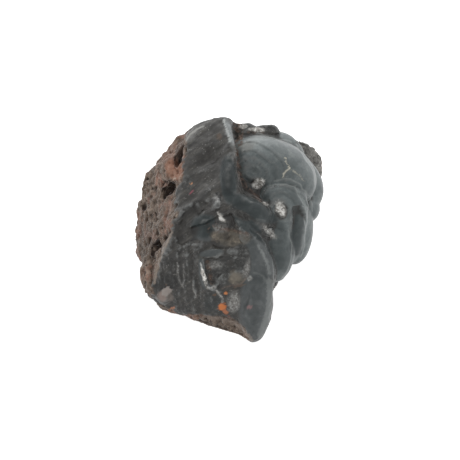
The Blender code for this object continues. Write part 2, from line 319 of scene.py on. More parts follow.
@dataclass
class StoneForm:
    """The exact forms of the stone, in millimetres as it is looked at."""

    plate: Block = Block((
        (-5, 34.3, 1.5), (-2.5, 34.2, 2.3), (0.2, 33.7, 0.8), (-9.5, 30.6, 1), (-12, 29.2, 0.5),
        (-14, 23.5, 4.5), (-14.5, 16, 7.5), (-16.5, 1.5, 9.3), (-20, -8, 7.5), (-24, -18.3, 1.5),
        (-19, -23.2, 0), (-12.5, -25.6, 0.5), (0, -27.2, 4), (6, -30.8, 3), (0, 24, 9),
        (1, 14.5, 12), (-1, 6.8, 13.8), (6, -2, 12), (7.5, -15.5, 10.5), (-7.5, -6, 12.5),
        (-7.5, -18, 8.5),
        (-15.6, 29, -4), (-20, 24.6, -6), (-23.8, 19.8, -8), (-26.2, 16.3, -9), (-28.5, 10.8, -10),
        (-29.4, 7.8, -11), (-29.5, 4, -12), (-29.3, -3, -12), (-29.2, -9.5, -11), (-26.3, -15, -10),
        (-25.5, -19.3, -8), (-21.5, -24.3, -5), (-10.5, -26, -3), (-4.2, -28.5, -1.5),
        (5, -33.2, -0.5), (3, 30.4, -6), (5, 20, -6), (8, 5, -6), (10, -10, -4), (9, -24, -3),
        resting(-6, 24, 36), resting(-14, 22, 33), resting(-20, 22, 22), resting(-24, 22, 8),
        resting(8, 23, 20), *footing((-22, 18), (-25, 8), (-25, -2), (-21.5, -10), (-15, -15.5),
                                     (-4, -20.5), (7, -21), (10, -6), (8, 18)),
    ))
    slab: Block = Block((
        (2, 30.4, 0), (13.5, 28.2, -4), (18.5, 24.6, -7), (22.5, 19, -9), (23.5, 6, -10),
        (20, -6, -10), (12, -13.4, -7), (3, 24, 4), (4, 10, 7), (8, 0, 7), (9, -10, 5), (18, 15, 1),
        (16, 2, 2), resting(12, 23, 30), resting(21, 22, 20), resting(22, 21, 8),
        resting(-5, 22, 20), *footing((20, 18), (19.5, 11), (11, -4), (8, -19), (-5, 18)),
    ))
    knob: Block = Block((
        (20.8, 27.7, -10), (24.4, 26.3, -11.5), (27.8, 24, -12), (29.1, 21.5, -12),
        (28.7, 19.4, -12.5), (28, 17.5, -13),
        (21, 12, -10), (20, 26.5, -18), (26.5, 23.5, -19), (27, 15, -18), resting(25.5, 19, 9),
        resting(22, 22, 4), resting(14, 26.2, 6), resting(7.5, 27, 12), resting(4, 26.5, 24),
        resting(14, 27, 20), *footing((16, 17), (10.5, 20)),
    ), 0.4)
    ledge: Block = Block((
        (1.6, 32.0, -0.5), (3.8, 30.2, -0.5), (11, 30.7, -2.5), (12.8, 32.1, -3),
        (15, 30, -3.5), (3, 29.0, 1.0), (12, 28.4, -1.3), (3, 29.4, -9), (14, 28, -10),
    ))
    swellings: tuple[Lump, ...] = (
        Lump((8, -8, 5.9), (4.7, 9.6, 7.8), (0, 0, 24)),
        Lump((7.5, -21.4, 3.6), (5.2, 12.2, 8.0), (10, 0, -3)),
        Lump((10.8, -1.0, 4.6), (3.2, 3.4, 4.4)),
        Lump((5.9, 7.1, 8.2), (7.6, 3, 5), (0, 14, -25)),
        Lump((7.0, 2.6, 7.0), (4.4, 4.6, 4.8), (0, 0, -35)),
        Lump((13.2, 2.7, 4), (5.6, 2.6, 4.2), (0, 20, -4)),
        Lump((-0.6, 15.1, 8.6), (2.5, 6.6, 5.2), (0, 0, 3)),
        Lump((-5, 10.9, 9.4), (3.2, 2.4, 3), (0, 0, 20)),
        Lump((-17.5, 19, 0.5), (2.6, 4, 3), (0, 0, -10)),
        Lump((-24, -14, -2), (3.2, 5, 4), (0, 0, 8)),
    )
    ridges: tuple[Rope, ...] = (
        Rope(((-8.7, -9.4, 11.5), (-8.6, -11.8, 11.6), (-8.1, -14, 11.4), (-7.4, -16.2, 11),
              (-6.4, -17.7, 10.6), (-4.6, -17.0, 10.6)), 1),
        Rope(((-3, 6.4, 13.6), (-7.8, 3.6, 12.8), (-12, 0.9, 11.2), (-17.2, -4.6, 8.8)), 1.3),
        Rope(((-3, 6.4, 13.6), (0, 3.2, 13.4), (3, 0.4, 12.8), (5.4, -2.2, 12)), 1.1),
        Rope(((-18, -5.3, 7.8), (-11.7, -5, 10.6), (-5.3, -5.9, 12), (1.2, -6.7, 11.8)), 1.3),
        Rope(((-4.4, -15.2, 10.0), (-1.5, -13.6, 10.6), (2.9, -11.6, 11.0)), 0.7),
        Rope(((-17, 1.8, 8.8), (-12, 5.9, 10.4), (-7, 8.5, 11.4)), 1.1),
        Rope(((-2.1, 31.2, 1.0), (-0.3, 27, 5.9), (0.6, 20.9, 8.9)), 1),
    )
    hollows: tuple[Lump, ...] = (
        Lump((-2.6, 0.3, 15.7), (5.4, 4.6, 5.2), (0, 0, 30)),
        Lump((-9, -0.8, 15), (5.2, 3.8, 3.2), (0, 0, 25)),
        Lump((-1.4, -14.0, 15.6), (4.4, 3.4, 4.0), (0, 0, 24)),
        Lump((1.7, -20.6, 14.8), (3.6, 3.6, 5.2)),
        Lump((-13.3, -13.6, 15.5), (4.5, 6, 6), (0, 0, 8)),
        Lump((-6.7, 23, 14.5), (6.5, 6.5, 7.5), (0, 0, 30)),
        Lump((-11.1, 5.8, 13), (2.6, 0.8, 1.8), (0, 0, 32)),
        Lump((-14.6, -1.2, 11.8), (3.2, 1.2, 2.2), (0, 0, 45)),
    )
    clefts: tuple[Rope, ...] = (
        Rope(((-6.6, -9.8, 12.2), (-6.6, -12.6, 12.0), (-6.3, -15.4, 11.4), (-5.9, -17, 10.9)),
             0.55),
        Rope(((-5.9, -16.6, 11.0), (-4.2, -15.8, 11.4), (-2.2, -14.4, 11.9)), 0.4),
        Rope(((-4.4, -19, 10.4), (-1.6, -17.9, 10.9), (0.6, -18.6, 10.9)), 0.35),
        Rope(((-13.6, 8, 11.0), (-10.2, 6.2, 12.6), (-8.2, 7.4, 13.0)), 0.35),
    )
    pits: tuple[Lump, ...] = (
        Lump((-14.5, 22.2, 3.0), (1.0, 2.7, 2.7), (0, 0, -8)),
        Lump((-18.1, 12.5, 2.2), (3.3, 0.9, 3.2), (0, 0, 48)),
        Lump((-19.6, 11.4, 1.6), (1.5, 1.1, 2.2), (0, 0, 10)),
        Lump((-23.6, 0, -4), (0.7, 3.8, 2.8), (0, 0, 8)),
        Lump((-21.4, -4.6, 2.2), (2.2, 0.9, 3.0), (0, 0, 40)),
        Lump((-22.4, -5.8, 0.8), (1.3, 1.0, 1.6), (0, 0, -10)),
        Lump((-26.1, 6.4, -6.4), (0.8, 1.2, 2.0)),
    )
    scars: tuple[Lump, ...] = (
        Lump(resting(-15, 40, 22), (17, 19, 14), (0, 12, 20)),
        Lump(resting(-30, 30, 6), (13, 15, 12), (0, 0, -30)),
        Lump(resting(0, 42, 7), (14, 17, 10), (10, 0, 0)),
        Lump(resting(-2, 40, 36), (12, 16, 12), (0, -20, 0)),
        Lump(resting(-42, 14, 15), (14, 10, 13), (0, 0, 15)),
        Lump(resting(-36, -4, 0), (11, 9, 10)),
        Lump(resting(20, 36, 16), (9, 12, 8), (0, 20, 0)),
    )
    bumps: tuple[Lump, ...] = (
        Lump((-0.6, -2.4, 6.6), (6, 2.6, 3.6), (0, 0, -8)),
        Lump((1.8, -13.9, 6.4), (3.2, 2.2, 3.2), (0, 0, 10)),
        Lump((-19.5, -19.2, 1), (2.6, 2.6, 2.6)),
    )
    dome: Kidney = Kidney(
        (Lump((14.5, 16.5, -3.5), (12.2, 10.0, 11.6), (0, 8, -31)),
         Lump((7.7, 19.6, -1.2), (10.8, 8.8, 10.2), (0, -12, 4))),
        (5.6, 15.0), (10.4, 7.8, 5.4), 0.28,
        (Lump((6.4, 16.6, 10.9), (2.9, 2.6, 4.2), (0, 0, 25)),))
    eye: Kidney = Kidney(
        (Lump((15.6, 6.0, 2.2), (7.9, 10.8, 7.8), (0, 0, 8)),),
        (15.2, 4.0), (8.2, 6.0), 0.3,
        (Lump((14.6, 3.4, 13.0), (5.0, 6.6, 4.2), (0, 0, 8)),
         Block(((18.3, 6.9, 4), (18.3, 0, 4), (18.3, -6, 3), (21.4, 7.2, 4), (23, 2, 3),
                (23.5, -6, 2), (18.3, 6.9, 14), (18.3, -6, 14), (22.4, 7.2, 14), (24.5, 2, 14),
                (24.5, -6, 14)), 0.4)))
    lobes: tuple[Lump, ...] = (
        Lump((15.6, 15.2, -8.5), (13.9, 10.3, 8.5), (0, 0, -31)),
        Lump((12.9, 20.8, -8), (10.2, 9.6, 7)),
        Lump((22.8, 6.7, -8), (4.7, 4.7, 6)),
        Lump((18.9, 1.6, -1.6), (4.4, 11.8, 8.2), (12, 0, -3)),
        Lump((20.0, -0.3, -5.5), (5.3, 10.3, 8), (0, 0, -5)),
        Lump((13.6, -5.2, 0.8), (6.1, 10.6, 8.6), (0, 0, -4)),
        Lump((13.9, -6.7, -4.5), (5.0, 9.4, 7.4), (0, 0, -10)),
        Lump(resting(14.5, 4, 9), (6, 7, 7)),
        Lump(resting(19.5, 10, 9), (5, 7, 7)),
        Lump(resting(20, 14, 15), (6, 6.5, 6.5)),
        Lump(resting(14, 18.5, 9), (6, 6, 6)),
        Lump(resting(12, 21.5, 22), (7, 7, 8)),
        Lump(resting(5, 25, 27), (5.5, 5.5, 5.5)),
    )
    breaks: tuple[Break, ...] = (
        Break((14.6, 5.2, 8.6), 2.6, (-0.12, 0.30, 0.94)),
    )
    seam: Rope = Rope(((1.2, 33, 3), (2, 26, 6.2), (2.7, 18, 8.6), (3.9, 13.5, 9.6),
                       (6.8, 10.6, 9.8), (10, 8, 9.2)), 0.65)
    slab_melt: float = 0.8
    knob_melt: float = 3.0
    ledge_melt: float = 0.8
    swelling_melt: float = 2.4
    ridge_melt: float = 2.8
    bump_melt: float = 1.0
    lobe_melt: float = 0.3
    matrix_melt: float = 0.6
    hollow_rim: float = 3.2
    cleft_rim: float = 0.6
    pit_rim: float = 0.9
    break_rim: float = 0.2
    seam_rim: float = 0.9

    def core(self, points: np.ndarray, relief: np.ndarray) -> np.ndarray:
        """Measures how far points are from the broken mass, without the lobes.

        Args:
            points: The points.
            relief: How far the surface stands proud at each point.

        Returns:
            Distances, negative inside.
        """
        wandering = points + self.wander(points)
        mass = self.plate.distance(points)
        for block, reach in ((self.slab, self.slab_melt), (self.knob, self.knob_melt),
                             (self.ledge, self.ledge_melt)):
            mass = melt(mass, block.distance(points), reach)
        for lump in self.swellings:
            mass = melt(mass, lump.distance(points), self.swelling_melt)
        for rope in self.ridges:
            mass = melt(mass, rope.distance(0.5 * (points + wandering)), self.ridge_melt)
        mass = mass - relief
        for lump in self.hollows + self.scars:
            mass = cut(mass, lump.distance(wandering), self.hollow_rim)
        for rope in self.clefts:
            mass = cut(mass, rope.distance(points), self.cleft_rim)
        for lump in self.pits:
            hole = lump.distance(points + 0.6 * self.wander(points)) + relief
            mass = cut(mass, hole, self.pit_rim)
        for lump in self.bumps:
            mass = melt(mass, lump.distance(points), self.bump_melt)
        return mass

    def wander(self, points: np.ndarray) -> np.ndarray:
        """Says how far ridges and hollows stray from their plain course at each point."""
        phase = points @ np.array([[0.61, -0.35, 0.47], [0.28, 0.72, -0.31], [-0.4, 0.33, 0.66]])
        return 0.7 * np.sin(phase) + 0.35 * np.sin(2.3 * phase[:, ::-1] + 1.0)

    def kidneys(self, points: np.ndarray) -> np.ndarray:
        """Measures how far points are from each lobe, in one row for each lobe."""
        return np.array([lobe.distance(points) for lobe in (self.dome, self.eye) + self.lobes])

    def distance(self, points: np.ndarray, core_relief: np.ndarray) -> np.ndarray:
        """Measures how far points are from the stone's skin.

        Args:
            points: The points.
            core_relief: How far the broken mass stands proud at each point.

        Returns:
            Distances, negative inside.
        """
        cluster = None
        for row in self.kidneys(points):
            cluster = row if cluster is None else melt(cluster, row, self.lobe_melt)
        for piece in self.breaks:
            cluster = cut(cluster, piece.distance(points), self.break_rim)
        stone = melt(self.core(points, core_relief), cluster, self.matrix_melt)
        stone = cut(stone, self.seam.distance(points), self.seam_rim)
        ground = np.array(resting(0.0, 0.0, 0.0))
        down = np.array(resting(0.0, 0.0, -1.0)) - ground
        return np.maximum(stone, (points - ground) @ down)


class Region(Enum):
    """The masks that the skin carries for its material."""

    CRUST = "crust"
    LOBE = "lobe"
    BROKEN = "broken"
    POLISH = "polish"
    OLIVE = "olive"
    # Darker blue-green: the arms' own colour, and painted shade on the lobes.
    TEAL_AND_SHADE = "teal_and_shade"
    RUST = "rust"
    # Clefts, darkened in the material by grime and painted shade.
    CLEFT = "cleft"
    # Painted shade in wide hollows, on the crust.
    HOLLOW_SHADE = "hollow"
    EDGE = "edge"
    RING = "ring"
    KNOB = "knob"
    # Lighter crystal grains with painted glints, on the broken faces.
    GLITTER = "glitter"


@dataclass(frozen=True)
class Grain:
    """Fine parallel striae over a patch of the broken mass."""

    where: Patch
    angle: float
    length: float
    width: float
    height: float

    def relief(self, points: np.ndarray, seen: np.ndarray) -> np.ndarray:
        """Works out the striae's height.

        Args:
            points: The points in space.
            seen: The same points as seen on the face.

        Returns:
            How far each point stands proud.
        """
        angle = math.radians(self.angle)
        along = seen[:, 0] * math.cos(angle) + seen[:, 1] * math.sin(angle)
        across = seen[:, 1] * math.cos(angle) - seen[:, 0] * math.sin(angle)
        stretched = np.stack([along / self.length, across / self.width,
                              points[:, 2] / self.length], axis=1)
        mask = self.where.mask(points, seen, 0.6)
        return self.height * mask * ragged(stretched, 0.7, 3)


@dataclass(frozen=True)
class Crumble:
    """Fractal unevenness of a width and a height."""

    width: float
    height: float
    hardness: float
    octaves: int
    shift: float = 0.0

    def relief(self, points: np.ndarray) -> np.ndarray:
        """Works out how far each point stands proud."""
        return self.height * ragged(points / self.width + self.shift, self.hardness, self.octaves)


@dataclass(frozen=True)
class Facets:
    """Flat breaks, each tilted its own way, or all more or less towards one side."""

    cells: int
    tilt: float
    seed: int
    lowest: float
    highest: float
    share: float = 1.0
    toward: Place | None = None

    def relief(self, points: np.ndarray, outward: np.ndarray) -> np.ndarray:
        """Works out the facets' height.

        Args:
            points: The points in space.
            outward: The surface's normals.

        Returns:
            How far each point stands proud.
        """
        chance = random.Random(self.seed)
        seeds = chance.sample(range(len(points)), self.cells)
        tree = kdtree.KDTree(len(seeds))
        slopes = []
        for index, seed in enumerate(seeds):
            spin = Vector([chance.gauss(0.0, self.tilt) for _ in range(3)])
            normal = Vector(outward[seed])
            if self.toward:
                spin = Vector(self.toward) + spin
                spin.normalize()
                spin = normal - spin / max(normal.dot(spin), 0.6)
            slopes.append(spin)
            tree.insert(points[seed], index)
        tree.balance()
        heights = np.empty(len(points))
        for row, point in enumerate(points):
            centre, index, _ = tree.find(point)
            heights[row] = (Vector(point) - centre).dot(slopes[index])
        return np.clip(self.share * heights, self.lowest, self.highest)


@dataclass(frozen=True)
class Lip:
    """A line on the face, raised on its left and sunk on its right as it runs, some with a painted
    highlight along it.
    """

    points: tuple[Spot, ...]
    height: float
    reach: float = 1.4
    sharpness: float = 0.45
    painted_highlight: float = 0.0

    def relief(self, seen: np.ndarray) -> np.ndarray:
        """Works out the lip's height.

        Args:
            seen: The points as seen on the face.

        Returns:
            How far each point stands proud.
        """
        nearest = np.full(len(seen), 1e3)
        side = np.zeros(len(seen))
        ends = np.ones(len(seen))
        last = len(self.points) - 2
        for index, (start, end) in enumerate(zip(self.points, self.points[1:])):
            origin, along = np.array(start), np.array(end) - np.array(start)
            length = np.linalg.norm(along)
            reach = (seen - origin) @ along / length
            foot = origin + np.clip(reach / length, 0.0, 1.0)[:, None] * along
            gap = np.linalg.norm(seen - foot, axis=1)
            across = ((seen - origin) @ np.array([-along[1], along[0]])) / length
            closer = gap < nearest
            nearest[closer] = gap[closer]
            side[closer] = np.where(across[closer] > 0, gap[closer], -gap[closer])
            beyond = np.zeros(len(seen))
            if index == 0:
                beyond = np.maximum(beyond, -reach)
            if index == last:
                beyond = np.maximum(beyond, reach - length)
            ends[closer] = ramp(beyond, self.reach, 0.0)[closer]
        step = 2.0 * ramp(side, -self.sharpness, self.sharpness) - 1.0
        return self.height * step * np.exp(-np.abs(side) / self.reach) * ends


@dataclass(frozen=True)
class Pores:
    """Small pits strewn over the crust."""

    count: int
    radius: tuple[float, float]
    depth: tuple[float, float]
    seed: int

    def relief(self, points: np.ndarray, mask: np.ndarray) -> np.ndarray:
        """Works out the pits' depth.

        Args:
            points: The points in space.
            mask: Where the crust is.

        Returns:
            How far each point stands proud, which is below 0 in a pit.
        """
        chance = random.Random(self.seed)
        rows = np.flatnonzero(mask > 0.6)
        sunk = np.zeros(len(points))
        tree = kdtree.KDTree(len(points))
        for index, point in enumerate(points):
            tree.insert(point, index)
        tree.balance()
        for _ in range(self.count):
            centre = points[rows[chance.randrange(len(rows))]]
            radius, depth = chance.uniform(*self.radius), chance.uniform(*self.depth)
            for _, index, gap in tree.find_range(centre, radius):
                bowl = (1.0 - (gap / radius) ** 2) ** 2
                sunk[index] = min(sunk[index], -depth * bowl)
        return sunk


@dataclass(frozen=True)
class Tinge:
    """A patch or a line on the face in which another tone shows."""

    where: Patch | Rope
    strength: float = 1.0

    def mask(self, points: np.ndarray, seen: np.ndarray) -> np.ndarray:
        """Says how far the tone shows; a faint one has the softer edge.

        Args:
            points: The points in space.
            seen: The same points as seen on the face.

        Returns:
            The tone's share at each point.
        """
        if isinstance(self.where, Rope):
            soft = 0.3 + 0.5 * self.where.radius
            return self.strength * ramp(self.where.distance(seen), soft, 0.0)
        return self.strength * self.where.mask(points, seen, 1.3 - 0.9 * self.strength)


@dataclass(frozen=True)
class Fleck(Tinge):
    """A spot or line of colour on the face; most are other minerals and grime, some painted
    highlights and painted shade.
    """

    colour: Place = (0.1, 0.08, 0.06)


@dataclass
class Face:
    """What is where on the stone, in millimetres as it is looked at."""

    crust_edge: tuple[Spot, ...] = (
        (-12, 30), (-13.5, 23.7), (-14.4, 17.7), (-16.2, 11.7), (-15.6, 5.7), (-17.4, -0.3),
        (-20.4, -6.9), (-21.9, -12.3), (-23.7, -18.3), (-24, -21.3))
    rim_edge: tuple[Spot, ...] = (
        (-24, -21), (-19.2, -23.1), (-15, -25.4), (-9, -25.5), (0, -26.4), (3.9, -28.8),
        (5.6, -32.1), (7, -40))
    broken: tuple[Patch, ...] = (
        Patch((-2.6, 1.6), (2.4, 2.2), 35), Patch((5.4, -1.4), (1.5, 0.7), -30),
        Patch((3.6, -9.4), (2.6, 5.4), 4), Patch((-3.6, -12.9), (3.6, 4.2), 0),
        Patch((1.1, -21.6), (1.9, 3.0), 20), Patch((-3, -19.2), (0.9, 2), 40),
        Patch((3.6, 4.4), (3, 1.3), -25), Patch((11.4, -0.6), (1.9, 2.6), 10),
        Patch((8.1, 14.1), (1.7, 1.7)), Patch((15.3, 5.6), (2, 2.6), 10),
        Patch((11.5, 7.6), (1.5, 1.1)), Patch((-3.9, 9.3), (1.5, 2.2), -10),
        Patch((-12.7, 14.2), (1.4, 2.4)), Patch((8.4, 30.9), (6, 1.2), -4))
    # Lighter crystal grains with painted glints where freshly broken faces sparkle, and a painted
    # highlight on the top ledge.
    glitter: tuple[Tinge, ...] = (
        Tinge(Patch((8.6, 14.0), (1.8, 1.4), 25), 0.9),
        Tinge(Patch((15.2, 6.2), (1.25, 2.3), 28), 0.8),
        Tinge(Patch((10.5, 7.9), (0.9, 0.4), -35), 0.7),
        Tinge(Patch((-2.7, 3.8), (0.6, 1.9), 36), 0.9),
        Tinge(Rope(((-8.7, -9.9), (-8.5, -11.7), (-8.1, -13.8), (-7.5, -15.9), (-6.6, -17.5),
                      (-5.7, -17.7), (-4.8, -16.8)), 0.1), 0.45),
        Tinge(Patch((-7.8, -13.9), (0.65, 2.6), 14), 1.0),
        Tinge(Rope(((-4.1, -18.3), (-2.7, -20.2)), 0.05), 0.6),
        Tinge(Rope(((-3.4, -18.6), (-2.0, -21.4)), 0.05), 0.3),
        Tinge(Patch((-4.6, -10.5), (2.0, 1.0), 8), 0.18),
        Tinge(Patch((4.9, -12), (0.9, 2.4), -10), 0.22),
        Tinge(Rope(((2.2, -19.0), (0.9, -20.6), (1.4, -22.8), (0.6, -24.6)), 0.05), 0.3),
        Tinge(Patch((1.1, -21.6), (1.7, 2.8), -12), 0.28),
        Tinge(Patch((11.9, -0.6), (0.8, 2.5), 41), 0.5),
        Tinge(Patch((-4.2, 9.6), (0.6, 1.8), 30), 0.12),
        Tinge(Rope(((-15.8, -9.9), (-15.9, -12.5), (-15.3, -15)), 0.05), 0.22),
        Tinge(Rope(((-14, -10.2), (-13.8, -13), (-14, -16.2)), 0.0), 0.22),
        Tinge(Rope(((-15.2, -15.2), (-14.4, -16.2), (-13.9, -17)), 0.05), 0.25),
        Tinge(Rope(((-11.2, -16.2), (-10.6, -18.4), (-10.4, -20.2)), 0.05), 0.25),
        Tinge(Patch((3.8, 31), (1.2, 0.5)), 0.55),
        Tinge(Patch((8.0, 30.2), (2.4, 0.6), -3), 0.7),
        Tinge(Rope(((3, -0.9), (4.8, -1.4), (6.2, -2.8)), 0.0), 0.2),
        Tinge(Patch((-3.2, 0.4), (1.9, 1.2), -10), 0.22),
        Tinge(Patch((6, -14.4), (0.6, 0.8)), 0.3))
    # Darker blue-green: the dark colour of the arms and the spine, and on the lobes painted shade,
    # as in the eye lobe's dark band, under the dome's terraces, in its recess, over the sunken lobe
    # on the right and down the finger's left side.
    teal_and_shade: tuple[Tinge, ...] = (
        Tinge(Patch((-0.4, 15), (2.4, 7), 3)), Tinge(Patch((7, 6.4), (8.2, 2.8), -27), 0.85),
        Tinge(Patch((5.6, 1), (2, 5.5), 48)), Tinge(Patch((-7.6, 1), (4, 3.4), 30)),
        Tinge(Rope(((10.6, 8.6), (12.6, 10.8), (16.2, 11.3), (19.2, 9.9), (21, 7)), 0.8), 0.34),
        Tinge(Rope(((20.2, 5.4), (20.1, 0), (19.5, -6)), 1.4), 0.85),
        Tinge(Patch((15.4, -6), (3.2, 7.5), 6), 0.6),
        Tinge(Patch((16.4, 19), (5, 6), 0), 0.32), Tinge(Patch((21.4, 12), (3, 5), 0), 0.3),
        Tinge(Patch((5.6, 16.3), (1.6, 1.9), 20), 0.35),
        Tinge(Patch((5.4, 12.9), (1.6, 1.3), -40), 0.4),
        Tinge(Patch((-5, -22), (2.6, 3.0)), 0.5),
        Tinge(Patch((10.5, -17), (1.8, 7), 4), 0.3),
        Tinge(Rope(((4.8, 18.6), (7.5, 18.2), (10.2, 16.6)), 0.6), 0.3),
        Tinge(Rope(((12.2, 25), (14, 24), (16.2, 22.2)), 0.3), 0.25),
        Tinge(Patch((19.5, 13.8), (3.2, 2.4), -35), 0.3),
        Tinge(Rope(((3.9, 22.5), (9, 22), (12.6, 19.4)), 0.3), 0.35),
        Tinge(Rope(((3.9, 20.2), (8.4, 19.6), (11.4, 17.4)), 0.3), 0.35))
    olive: tuple[Patch, ...] = (
        Patch((-0.3, -2.4), (5.6, 2.5), -8), Patch((2, -14), (2.9, 2.3), 10))
    polish: tuple[Patch, ...] = (
        Patch((-0.6, 15), (2.2, 7), 3), Patch((7, 6.4), (7.8, 2.6), -27),
        Patch((8.4, -7), (4.8, 9.5), 14), Patch((7.8, -22), (5, 12), -4),
        Patch((5.6, 1), (2, 5.5), 48), Patch((-5.6, -6.9), (3.6, 1.1), 8),
        Patch((-8.2, -13), (1.1, 4.8), 8), Patch((-5.6, -17.4), (1.8, 0.9), -30),
        Patch((-7.8, 0.6), (3.6, 4.2), 30))
    rust: tuple[Rope, ...] = (
        Rope(((1.4, 32), (1.8, 26.7), (2.4, 20.7), (2.9, 16.2), (4.1, 13.4), (6.4, 11.4),
              (8.7, 9.5), (10.2, 7.9)), 0.3),
        Rope(((2.6, 22), (3.8, 15.4), (5.3, 12.8), (7.8, 10.8)), 0.0),
        Rope(((3, 32), (2.7, 26)), 0.9),
        Rope(((5.4, 29.4), (10, 29.3)), 0.1),
        Rope(((-6.6, -0.3), (-4.5, 1.5), (-1.5, 0.3), (2.4, -0.6), (5.2, -1.2)), 0.35),
        Rope(((-6.6, -9.6), (-6, -13.5), (-5.4, -16)), 0.45),
        Rope(((-9, -26), (0, -27), (4, -29.6)), 0.5))
    grains: tuple[Grain, ...] = (
        Grain(Patch((-7, 25), (8, 9), 0), 30, 7.0, 0.9, 0.07),
        Grain(Patch((-8, 10), (8.5, 9.5), 0), 42, 8.0, 1.0, 0.08),
        Grain(Patch((-12, 2.5), (7.5, 6), 40), 38, 8.0, 1.0, 0.2),
        Grain(Patch((-15, -14), (7.5, 10), 0), 97, 8.0, 1.5, 0.42),
        Grain(Patch((-10, -21), (6, 6), 0), 112, 7.0, 1.3, 0.32),
        Grain(Patch((5, 1), (5, 6), -30), -38, 6.0, 0.9, 0.1),
        Grain(Patch((-4, -6.6), (12, 3), 0), 2, 7.0, 1.0, 0.16),
        Grain(Patch((2, -13), (6, 8), 0), 12, 5.0, 1.0, 0.18),
        Grain(Patch((-3, -29), (14, 3.4), -8), -14, 5.0, 0.6, 0.25),
        Grain(Patch((-24.5, -12), (4.5, 10), 0), 84, 6.0, 1.0, 0.3))
    lips: tuple[Lip, ...] = (
        Lip(((23.4, 9.3), (24.9, 10.2), (25.8, 13.2), (25.5, 16.2), (24.6, 18.9), (22.8, 21.6),
             (20.1, 25.2)), 0.3, 1.0, painted_highlight=0.4),
        Lip(((24.6, 6), (24, 9), (22.5, 12), (20.4, 14.1), (18, 15.4), (15.9, 15.9), (13.5, 15.3)),
            0.5, 1.3, painted_highlight=0.3),
        Lip(((23.4, 3.9), (22.5, 7.2), (21, 10.2), (18.9, 12.6), (16.5, 13.8), (12.6, 13.8),
             (11.1, 13.2), (9.6, 10.8)), 0.42, 1.0, painted_highlight=0.4),
        Lip(((0.6, 11.7), (4.5, 10.2), (8.4, 8.7), (12, 5.7)), -0.3, 1.2),
        Lip(((18, 2.1), (9.6, 2.1), (5.4, 4.2), (1.5, 6.6), (-0.6, 8.7)), -0.35, 1.2),
        Lip(((21, -7.8), (22.2, -3.3), (22.5, 1.2), (21.6, 5.1)), 0.38, 1.0, painted_highlight=0.4),
        Lip(((15.6, -14.7), (17.7, -9.9), (19.2, -4.8), (18, -0.3)), 0.35, 1.0, painted_highlight=0.4),
        Lip(((12, -21.3), (13.2, -16.8), (13.5, -12.3), (12.6, -8.1), (10.8, -3.9), (8.4, -0.9)),
            0.5, 1.2, painted_highlight=0.4),
        Lip(((11.4, -13.8), (10.5, -8.7), (8.4, -4.8)), 0.3, 1.0),
        Lip(((13.5, -15.9), (12.6, -12.3), (11.4, -8.1), (9.6, -3.3)), 0.25, 0.7),
        Lip(((12.2, -15.8), (11.4, -15.3), (9, -13.5), (7.4, -13.1)), 0.3, 1.2, painted_highlight=0.2),
        Lip(((8.2, 28.6), (10, 28.5), (12.6, 27.9), (15.6, 27.2), (18.9, 26.2)), -0.2, 0.8,
            painted_highlight=0.4),
        Lip(((-18, -5.1), (-12, -5.1), (-4.5, -5.7), (1.5, -6.9)), 0.22, 1.3),
        Lip(((-3, -14.6), (0.4, -13.2), (3, -11.6)), 0.2, 0.8),
        Lip(((-17.4, 2.1), (-10.5, 7.2), (-7.5, 8.7)), 0.2, 1.4),
        Lip(((-3.6, 6), (0, 2.1), (3, -0.3), (6.3, -2.7)), 0.3, 0.9),
        Lip(((-15.6, -2.7), (-13.2, 1.2), (-11.1, 6.3)), -0.2, 0.9),
        Lip(((-2.4, 8.7), (-6, 13.2)), 0.3, 1.4),
        Lip(((-5.1, -17.7), (-6.9, -16.2), (-8.1, -13.8), (-8.7, -9.9)), -0.2, 1.2),
        Lip(((0.9, -17.1), (5.1, -15.6)), 0.3, 0.8))
    # The colour of the painted highlights along the lips.
    painted_highlight_colour: Place = (0.26, 0.275, 0.265)
